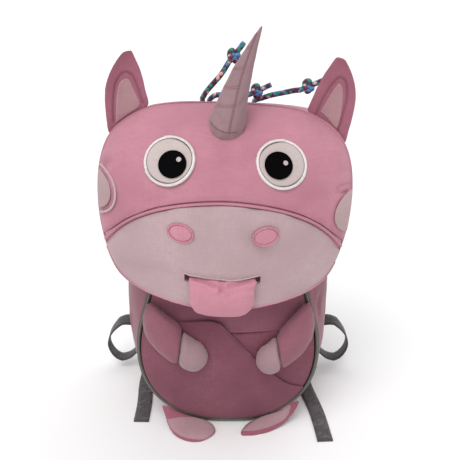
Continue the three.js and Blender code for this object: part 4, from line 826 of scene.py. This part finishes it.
def stitch_tree():
    """Thread laid along a line that carries its own outward direction, at an even spacing."""
    tree = bpy.data.node_groups.new("stitches", "GeometryNodeTree")
    sockets = tree.interface
    sockets.new_socket("Line", in_out="INPUT", socket_type="NodeSocketGeometry")
    for name, value in (("Spacing", 3 * MM), ("Length", 2 * MM), ("Radius", 0.3 * MM), ("Turn", 0.0)):
        sockets.new_socket(name, in_out="INPUT", socket_type="NodeSocketFloat").default_value = value
    sockets.new_socket("Thread", in_out="INPUT", socket_type="NodeSocketMaterial")
    sockets.new_socket("Stitches", in_out="OUTPUT", socket_type="NodeSocketGeometry")
    nodes = Tree(tree)
    start = nodes.add("NodeGroupInput").outputs
    curve = nodes.out("GeometryNodeMeshToCurve", {0: start["Line"]})
    even = nodes.out("GeometryNodeResampleCurve", {"Curve": curve, "Length": start["Spacing"]},
                     mode="LENGTH")
    out = nodes.add("GeometryNodeInputNamedAttribute", {"Name": "out"}, data_type="FLOAT_VECTOR")
    outwards = next(socket for socket in out.outputs if socket.enabled)
    tangent = nodes.out("GeometryNodeInputTangent")
    turning = {"Vector": tangent, "Axis": outwards, "Angle": start["Turn"]}
    turned = nodes.out("ShaderNodeVectorRotate", turning, rotation_type="AXIS_ANGLE")
    aim = nodes.out("FunctionNodeAlignRotationToVector", {"Vector": turned}, axis="X")
    settle = nodes.add("FunctionNodeAlignRotationToVector", {"Rotation": aim, "Vector": outwards},
                       axis="Z", pivot_axis="X").outputs[0]
    bead = nodes.out("GeometryNodeMeshUVSphere", {"Segments": 6, "Rings": 4, "Radius": 0.5})
    width = nodes.out("ShaderNodeMath", {0: start["Radius"], 1: 2}, operation="MULTIPLY")
    size = nodes.out("ShaderNodeCombineXYZ", {0: start["Length"], 1: width, 2: width})
    thread = nodes.out("GeometryNodeTransform", {0: bead, "Scale": size})
    laying = {"Points": even, "Instance": thread, "Rotation": settle}
    laid = nodes.out("GeometryNodeInstanceOnPoints", laying)
    real = nodes.out("GeometryNodeRealizeInstances", {0: laid})
    dyed = nodes.out("GeometryNodeSetMaterial", {0: real, "Material": start["Thread"]})
    nodes.add("NodeGroupOutput", {0: dyed})
    return tree


STITCHES = stitch_tree()


THREADS = {  # finish, spacing, length and radius in millimetres, and turn in degrees
    "lip_stitches": ("pale_thread", 2.6, 1.9, 0.22, 0),
    "eye_satin": ("white", 0.5, 3.0, 0.34, 90),
    "eye_line": ("grey_thread", 1.1, 1.3, 0.2, 0),
    "pupil_edge": ("pupil", 0.5, 1.3, 0.28, 90),
    "nostril_satin": ("rose_thread", 0.5, 2.3, 0.32, 90),
    "ear_stitches": ("plum_thread", 1.9, 1.5, 0.2, 0),
    "horn_seam_stitches": ("plum_thread", 1.5, 1.3, 0.2, 0),
    "horn_ring_stitches": ("rose_thread", 1.7, 1.5, 0.22, 0),
    "horn_foot_stitches": ("plum_thread", 1.6, 1.6, 0.35, 0),
    "cuff_stitches": ("plum_thread", 2.4, 1.8, 0.25, 0),
    "hem_stitches": ("rose_thread", 2.4, 1.8, 0.3, 0),
    "loose_tail_stitches": ("webbing_thread", 1.8, 1.5, 0.25, 0),
}
STEP = 1 * MM  # between the places of a line of stitches
ON_TOP = 0.1 * MM  # how far a thread's middle lies above the cloth


def stitched(name, lines):
    """Stitches along some lines of places and outward directions, as one mesh that rides on the bag."""
    finish, spacing, length, radius, turn = THREADS[name.replace("_left", "").replace("_right", "")]
    mesh = bpy.data.meshes.new(name)
    places, edges, outs = [], [], []
    for line in lines:
        first = len(places)
        places += [place for place, _ in line]
        outs += [normal for _, normal in line]
        edges += [(i, i + 1) for i in range(first, len(places) - 1)]
    mesh.from_pydata(places, edges, [])
    store(mesh, "out", [list(out) for out in outs], "FLOAT_VECTOR", "vector")
    piece = placed(name, mesh)
    modifier = piece.modifiers.new("stitches", "NODES")
    modifier.node_group = STITCHES
    values = {
        "Spacing": spacing * MM, "Length": length * MM, "Radius": radius * MM, "Turn": math.radians(turn),
        "Thread": FINISHES[finish],
    }
    for socket in STITCHES.interface.items_tree:
        if socket.in_out == "INPUT" and socket.name in values:
            modifier[socket.identifier] = values[socket.name]
    baked(piece)
    made_smooth(piece)
    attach(piece, "root")
    return piece


def stitch_along(name, piece, *lines, lift=ON_TOP):
    """Stitches along lines of pixels of the photograph."""
    stitched(name, [traced(piece, line, STEP, lift) for line in lines])


# Pieces in place of solids


def standing_for(piece, *nodes, fill=None):
    """The piece rides on the bag in place of some solids; fill, how full a padded one is, is not used."""
    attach(piece, "root")
    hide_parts(*nodes)
    return piece


def patch(node, name, finish, crease, levels=2):
    """A piece of cloth in place of one solid."""
    return standing_for(refined(node, name, finish, levels, crease=crease), node)


LOWEST = 0.05 * MM


def above_ground(piece):
    places = points_of(piece.data)
    places[:, 2] = np.maximum(places[:, 2], LOWEST)
    move_to(piece, places)


COVERS = {  # name, finish, levels of detail, sharpness of its folded edges, creases, and how full it is
    "face_upper": ("upper_face", "pink", 3, 0.8, ("cheeks", "brow"), 0.5),
    "muzzle": ("muzzle_cover", "pale", 3, 0.8, ("muzzle",), 0.5),
    "head_crown": ("crown_cover", "pink", 2, 0.8, (), 0.3),
    "belly_panel": ("belly_cover", "deep", 3, 0.8, (), None),
    "side_gusset": ("side_cover", "gusset", 3, 0.8, ("side",), None),
    "back_panel": ("back_pad", "deep", 3, 0.8, (), 0.5),
    "gathered_collar": ("gathered_mouth", "deep", 2, 0.8, (), None),
    "pocket_under": ("under_wrap", "belly", 3, 0.6, (), None),
    "pocket_over": ("over_wrap", "belly", 3, 0.6, (), None),
}


def cover(node):
    """A large piece of cloth in place of one solid, with its dents, soft rim, creases and shaded edges."""
    name, finish, levels, crease, creases, fill = COVERS[node]
    piece = refined(node, name, finish, levels, crease=crease)
    if name in DENTS:
        dented(piece)
    if name in ROUNDED:
        rounded_edge(piece)
    for fold in creases:
        folded(piece, fold)
    if name in SHADES:
        rim_shaded(piece)
    above_ground(piece)
    standing_for(piece, node, fill=fill)
    return piece


# Cords and knots


def braided_cords():
    for side, cord in CORDS.items():
        route = [Vector(point) * MM for point in cord["route"]]
        path = smooth_line(route, 1.0 * MM)
        piece = sweep(f"braid_{side}", path, CORD_DIAMETER / 2, 20, "braid")
        standing_for(piece, f"cord_{side}")
        knot = knotted_end(side, cord)


def knotted_end(side, cord):
    """An overhand knot drawn tight, with the cut end of the cord standing out of it."""
    centre = Vector(cord["knot"]) * MM
    axis = Vector(cord["stub"]).normalized()
    turn = Vector((0, 0, 1)).rotation_difference(axis).to_matrix()
    radius = 0.5 * CORD_DIAMETER
    reach = (KNOT_RADIUS - radius) / 3
    loop = []
    for k in range(97):
        t = 2 * math.pi * k / 96
        u, v = math.sin(t) + 2 * math.sin(2 * t), math.cos(t) - 2 * math.cos(2 * t)
        loop.append(centre + turn @ (Vector((u, v, -1.7 * math.sin(3 * t))) * reach))
    ball = sweep(f"knot_loop_{side}", loop, radius, 16, "braid")
    start, end = [Vector(point) * MM for point in cord["route"][-2:]]
    lead = end + (start - end).normalized() * KNOT_OVERLAP
    through = smooth_line([lead, end, centre, centre + axis * (KNOT_RADIUS + TUFT)], 0.8 * MM)
    tuft = sweep(f"knot_tuft_{side}", through, 0.49 * CORD_DIAMETER, 16, "braid")
    joined = join([ball, tuft], f"knotted_end_{side}")
    return standing_for(joined, f"knot_{side}")


def join(pieces, name):
    """Several pieces as one mesh."""
    grid = bmesh.new()
    for piece in pieces:
        grid.from_mesh(piece.data)
    mesh = mesh_of(grid, name)
    for material in pieces[0].data.materials:
        mesh.materials.append(material)
    piece = placed(name, mesh)
    for old in pieces:
        bpy.data.objects.remove(old)
    return made_smooth(piece)


# The head

MUZZLE_FROM, MUZZLE_TO = 107, 335  # columns between which the muzzle's bound lower edge shows
LIP_EDGE_UP, LIP_STITCHES_UP = 0.8, 3.4  # pixels above the line of the lip
LIP = [(184.3, 273.6), (197, 279), (210, 281.2), (223.5, 281.7), (238, 281), (250, 278.6), (259.9, 276)]


def head():
    upper, muzzle = cover("face_upper"), cover("muzzle")
    cover("head_crown")
    line = smooth_line(spine("muzzle_piping", 4 * MM), 1.5 * MM)
    piping = sweep("muzzle_seam_piping", line, 1.15 * MM, 14, "pink")
    standing_for(piping, "muzzle_piping")
    seam_allowance(line)
    edge = lower_outline(muzzle, MUZZLE_FROM, MUZZLE_TO)
    bound("muzzle_binding", edge)
    lip(muzzle)
    return upper


ALLOWANCE = 10 * MM
ALLOWANCE_DEPTH = 2.6 * MM
ALLOWANCE_THICK = 0.5 * MM
SEAM_OUT = 80 * MM


def seam_allowance(line):
    """The turned-in cloth behind the muzzle's seam, which closes the gap between the two covers."""
    wide, path = [], []
    for i, place in enumerate(line):
        out = Vector((place.x * 0.9, -SEAM_OUT, 0)).normalized()
        wide.append(heading(line, i).cross(out).normalized())
        path.append(place - out * ALLOWANCE_DEPTH)
    half, thick = ALLOWANCE / 2, ALLOWANCE_THICK
    outline = [(-half, -thick), (half, -thick), (half, thick), (-half, thick)]
    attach(sweep("seam_allowance", path, 0, 0, "pink", section=outline, wide=wide), "root")


def lip(muzzle):
    """The lip's bound edge and its line of stitches."""
    edge = traced(muzzle, [(u, v - LIP_EDGE_UP) for u, v in LIP], 1.5 * MM, 0.3 * MM)
    bound("lip_binding", edge)
    above = traced(muzzle, [(u, v - LIP_STITCHES_UP) for u, v in LIP[1:-1]], 1.5 * MM, ON_TOP)
    stitched("lip_stitches", [above])


def ring_line(node, carrier, inset, lift, count=72):
    """The closed middle line of a stitched rim, laid on the piece that carries it."""
    places = np.array([list(v.co) for v in NODES[node].data.vertices])
    centre = places.mean(0)
    _, _, axes = np.linalg.svd(places - centre)
    flat = (places - centre) @ axes.T
    halves = np.abs(flat[:, :2]).max(0) - inset
    tree = tree_of(carrier)
    line = []
    for k in range(count + 1):
        angle = 2 * math.pi * k / count
        point = centre + axes[0] * halves[0] * math.cos(angle) + axes[1] * halves[1] * math.sin(angle)
        place, normal, _, _ = tree.find_nearest(Vector(point))
        if normal.y > 0:
            normal = -normal
        line.append((place + normal * lift, normal))
    return line


RIM_INSETS = {  # from the edge of a solid to its ring of stitches, in millimetres
    "eye_satin": 1.2, "eye_line": 3.3, "pupil_edge": 0.5, "nostril_satin": 0.9,
}


def stitch_round(name, side, kind, carrier, lift=0.0):
    """A ring of stitches inside the edge of a solid."""
    line = ring_line(f"{kind}_{side}", carrier, RIM_INSETS[name] * MM, lift)
    stitched(f"{name}_{side}", [line])


def eyes():
    for side in SIDES:
        white = patch(f"eye_white_{side}", f"eyeball_{side}", "eye", 0.5)
        base = patch(f"eye_rim_{side}", f"eye_edge_{side}", "white", 0.2)
        stitch_round("eye_satin", side, "eye_rim", base)
        stitch_round("eye_line", side, "eye_rim", white, ON_TOP)
        pupil = patch(f"pupil_{side}", f"pupil_patch_{side}", "pupil", 0.4)
        stitch_round("pupil_edge", side, "pupil", pupil)
        patch(f"glint_{side}", f"glint_patch_{side}", "eye", 0.2)


def nostrils():
    for side in SIDES:
        patch(f"nostril_{side}", f"nostril_patch_{side}", "rose", 0.5)
        base = patch(f"nostril_rim_{side}", f"nostril_edge_{side}", "rose_thread", 0.2)
        stitch_round("nostril_satin", side, "nostril_rim", base)


def cheeks():
    patch("cheek_spot_left", "cheek_patch_left", "grey_pale", 0.4)
    patch("cheek_ring_left", "cheek_cord_left", "pale_thread", 0.4)
    patch("cheek_spot_right", "cheek_patch_right", "grey_pale", 0.4)


def tongue(piece):
    dented(piece)
    folded(piece, "tongue_middle")
    folded(piece, "tongue_sides")
    standing_for(piece, "tongue", fill=0.6)


HORN_SEAM = [
    (258.5, 28), (252, 46), (246.5, 62), (241.5, 78), (237.5, 94), (234, 110), (231, 124), (229.6, 132.5),
]
HORN_RINGS = [
    [(240.6, 47.5), (244.5, 48.6), (250.8, 47.2)], [(231, 67.5), (237, 69), (244.6, 68)],
    [(221.8, 86.2), (229, 87.8), (238.9, 87.6)], [(214.4, 105), (224, 106.6), (234.8, 106)],
]
HORN_FOOT = [(208.5, 118), (210.6, 122), (214, 127), (221, 131.8), (229, 133.6), (236, 132.8), (241, 129.8)]
FOOT_STITCHES_UP = 0.8  # pixels above the horn's foot
TUCK_REACH = 14 * MM
TUCK_DEPTH = 1.6 * MM  # for each pixel past the edge


def tucked(piece, edge, carrier):
    """Sinks what shows past an edge in the photograph into the piece that carries it."""
    tree = tree_of(carrier)
    limits = np.array(sorted(edge))
    places = points_of(piece.data)
    for index, place in enumerate(places):
        u, v = photo_pixel(Vector(place))
        past = v - np.interp(u, limits[:, 0], limits[:, 1])
        _, normal, _, distance = tree.find_nearest(Vector(place))
        if past > 0 and distance < TUCK_REACH:
            places[index] -= np.array(normal) * past * TUCK_DEPTH
    move_to(piece, places)


def horn(carrier):
    piece = refined("horn", "horn_cover", "horn", 3, sharp=75)
    tucked(piece, HORN_FOOT, carrier)
    dented(piece)
    sewn(piece, [traced(piece, HORN_SEAM)], "horn_seam")
    rings = [traced(piece, ring, STEP) for ring in HORN_RINGS]
    sewn(piece, rings, "horn_rings")
    folded(piece, "horn")
    standing_for(piece, "horn", fill=0.9)
    stitch_along("horn_seam_stitches", piece, HORN_SEAM, lift=0.5 * ON_TOP)
    stitch_along("horn_ring_stitches", piece, *HORN_RINGS)
    foot = [(u, v - FOOT_STITCHES_UP) for u, v in HORN_FOOT[1:-1]]
    stitch_along("horn_foot_stitches", piece, foot, lift=2 * ON_TOP)


EAR_GROOVES = {
    "left": [
        (113.5, 121), (113.4, 100), (115.6, 84), (120.4, 75), (125, 71.8), (131, 74), (136.5, 84),
        (143.5, 104),
    ],
    "right": [(315, 116), (324, 97), (334, 82), (340, 77.6), (345, 81), (346.8, 92), (344, 110), (337, 132)],
}
EAR_PATCHES = {
    "left": [
        (115.5, 124), (115.8, 104), (117, 90), (119.8, 81.5), (124.3, 78), (129, 78.5), (132.5, 85),
        (136.5, 94), (140.5, 105.5), (128, 115),
    ],
    "right": [
        (319.5, 112), (327.5, 99), (335, 87), (339.4, 82.6), (342.4, 86), (343.4, 97), (341.5, 112),
        (336.5, 129), (328, 120),
    ],
}
EAR_STRETCH = 1.06  # brings an ear's foot down behind the edge of the head


def ears(pads):
    for side in SIDES:
        piece = pads[f"ear_{side}"]
        tip = points_of(piece.data)[:, 2].max()
        lowered = Matrix.Translation((0, 0, tip * (1 - EAR_STRETCH)))
        piece.data.transform(lowered @ Matrix.Diagonal((1, 1, EAR_STRETCH, 1)))
        dented(piece)
        groove = traced(piece, EAR_GROOVES[side], STEP)
        sewn(piece, [groove], "ear_groove")
        standing_for(piece, f"ear_{side}", fill=0.6)
        stitch_along(f"ear_stitches_{side}", piece, EAR_GROOVES[side])
        lining = appliqued(f"ear_patch_{side}", piece, EAR_PATCHES[side], "ear_inner")
        standing_for(lining, f"ear_inner_{side}")


# The body

CUFF_STITCHES = {"left": [(184.2, 341), (180.4, 352), (179, 362), (179.4, 371.4)],
                 "right": [(276.6, 340.4), (279.4, 350), (279.9, 361), (278.8, 371)]}
HAND_SHIFT = {"left": -1.1 * MM, "right": 1.1 * MM}  # closes the sewn seam between an arm and its hand


def arms(pads):
    for side in SIDES:
        arm, hand = pads[f"arm_{side}"], pads[f"hand_{side}"]
        dented(arm)
        dented(hand)
        hand.data.transform(Matrix.Translation((HAND_SHIFT[side], 0, 0)))
        cuff = traced(arm, CUFF_STITCHES[side], STEP)
        if len(cuff) > 2:
            sewn(arm, [cuff], "cuff")
            stitch_along(f"cuff_stitches_{side}", arm, CUFF_STITCHES[side])
        standing_for(arm, f"arm_{side}", fill=0.7)
        standing_for(hand, f"hand_{side}", fill=0.8)


TOE_PATCHES = {
    "left": [
        (166, 419), (182, 416.5), (197, 417.5), (210, 419.5), (217.5, 430), (215, 437), (199, 440),
        (181, 436.5), (170, 428),
    ],
    "right": [
        (241, 431.5), (250, 423.5), (263, 416), (277, 410), (291, 404.5), (289.5, 413), (284, 420),
        (270, 427), (254, 431),
    ],
}


def feet(pads):
    for side in SIDES:
        foot = pads[f"foot_{side}"]
        dented(foot)
        above_ground(foot)
        standing_for(foot, f"foot_{side}", fill=0.5)
        toe = appliqued(f"toe_patch_{side}", foot, TOE_PATCHES[side], "toe")
        standing_for(toe, f"toe_{side}")


HEM = [(229, 330.6), (247, 331.4), (265, 330.4), (281, 328.6)]
WRAP_EDGE = [(217.5, 322.6), (221, 325.6), (228, 332.6), (236, 341), (244.7, 349.4), (251, 355.6)]


def bag_body():
    belly = cover("belly_panel")
    for node in ("side_gusset", "back_panel", "gathered_collar", "pocket_under"):
        cover(node)
    over = cover("pocket_over")
    stitch_along("hem_stitches", belly, HEM, lift=2 * ON_TOP)
    edge = traced(over, WRAP_EDGE, STEP, ON_TOP)
    bound("wrap_edge", edge)


PIPING_RADIUS = 2.4 * MM
STRIP_RISE = 2.2 * MM
STRIP_OUTLINE = [(-1.7, -0.75), (-1.5, -0.3), (0, 0.4), (1.5, -0.3), (1.7, -0.75), (0, -0.5)]
BELLY_MIDDLE = 0.112


def seam_piping():
    """Grey piping along the front seam, with the reflective strip that runs on its front."""
    line = smooth_line(spine("belly_piping"), 2 * MM)
    piping = sweep("seam_piping", line, PIPING_RADIUS, 16, "piping")
    standing_for(piping, "belly_piping")
    centre = Vector((0, line[0].y, BELLY_MIDDLE))
    outs = [((place - centre).normalized() * 0.35 + Vector((0, -1, 0.1))).normalized() for place in line]
    raised = [place + out * STRIP_RISE for place, out in zip(line, outs)]
    wide = [out.cross(heading(line, i)).normalized() for i, out in enumerate(outs)]
    outline = [(u * MM, v * MM) for u, v in STRIP_OUTLINE]
    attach(sweep("reflective_strip", raised, 0, 0, "strip", section=outline, wide=wide), "root")


# Straps and webbing

TAIL_STITCHES = {
    "webbing_tail_left": [[(135.5, 414), (149.5, 415.5)], [(134.2, 418.5), (148, 419.5)]],
    "webbing_tail_right": [[(309.5, 424), (322, 420.5)], [(316.5, 436), (330, 434)]],
}


def straps(pads):
    for side in SIDES:
        pad = pads[f"shoulder_strap_{side}"]
        dented(pad)
        standing_for(pad, f"shoulder_strap_{side}", fill=0.5)
        buckle = refined(f"adjuster_{side}", f"buckle_{side}", "plastic", 2, sharp=25, crease=0.75)
        standing_for(buckle, f"adjuster_{side}")
        for kind, new in (("lower_webbing", "webbing_loop"), ("webbing_tail", "loose_tail")):
            node, name = f"{kind}_{side}", f"{new}_{side}"
            tape = refined(node, name, "webbing", 2, sharp=30, crease=1.0)
            distance_along(tape, node)
            above_ground(tape)
            standing_for(tape, node)
            if node in TAIL_STITCHES:
                stitch_along(f"{name}_stitches", tape, *TAIL_STITCHES[node])


def distance_along(piece, node):
    """Stores how far along a band each point is, for the ribs of its weave."""
    line = [(place, None) for place in spine(node, 9 * MM)]
    _, along, _ = seam_distance(piece, [line])
    store(piece.data, "along", along)


PADS = {  # the name of each pad, without its side, and its finish
    "tongue": ("tongue_pad", "rose"), "ear": ("ear_pad", "ear"), "arm": ("arm_pad", "gusset"),
    "hand": ("hand_pad", "hand"), "foot": ("foot_pad", "foot"), "shoulder_strap": ("strap_pad", "gusset"),
}
# Too thin at their edges for the even mesh that the simulation needs
THIN_PADS = ("ear", "foot")
VOXEL = 2.2 * MM
SWELL_CAP = 1.6 * MM


def padded_pieces():
    """The stuffed pieces, refined and then swollen together by one simulation."""
    pads, swelling = {}, []
    for kind, (name, finish) in PADS.items():
        for end in ("",) if kind == "tongue" else ("_left", "_right"):
            levels = 3 if kind in THIN_PADS else 2
            pads[kind + end] = refined(kind + end, name + end, finish, levels, sharp=180)
            if kind not in THIN_PADS:
                swelling.append(pads[kind + end])
    swollen(swelling, VOXEL, SWELL_CAP)
    return pads


make_camera()
make_studio()
braided_cords()
upper_face = head()
eyes()
nostrils()
cheeks()
padding = padded_pieces()
tongue(padding["tongue"])
horn(upper_face)
ears(padding)
bag_body()
seam_piping()
arms(padding)
feet(padding)
straps(padding)
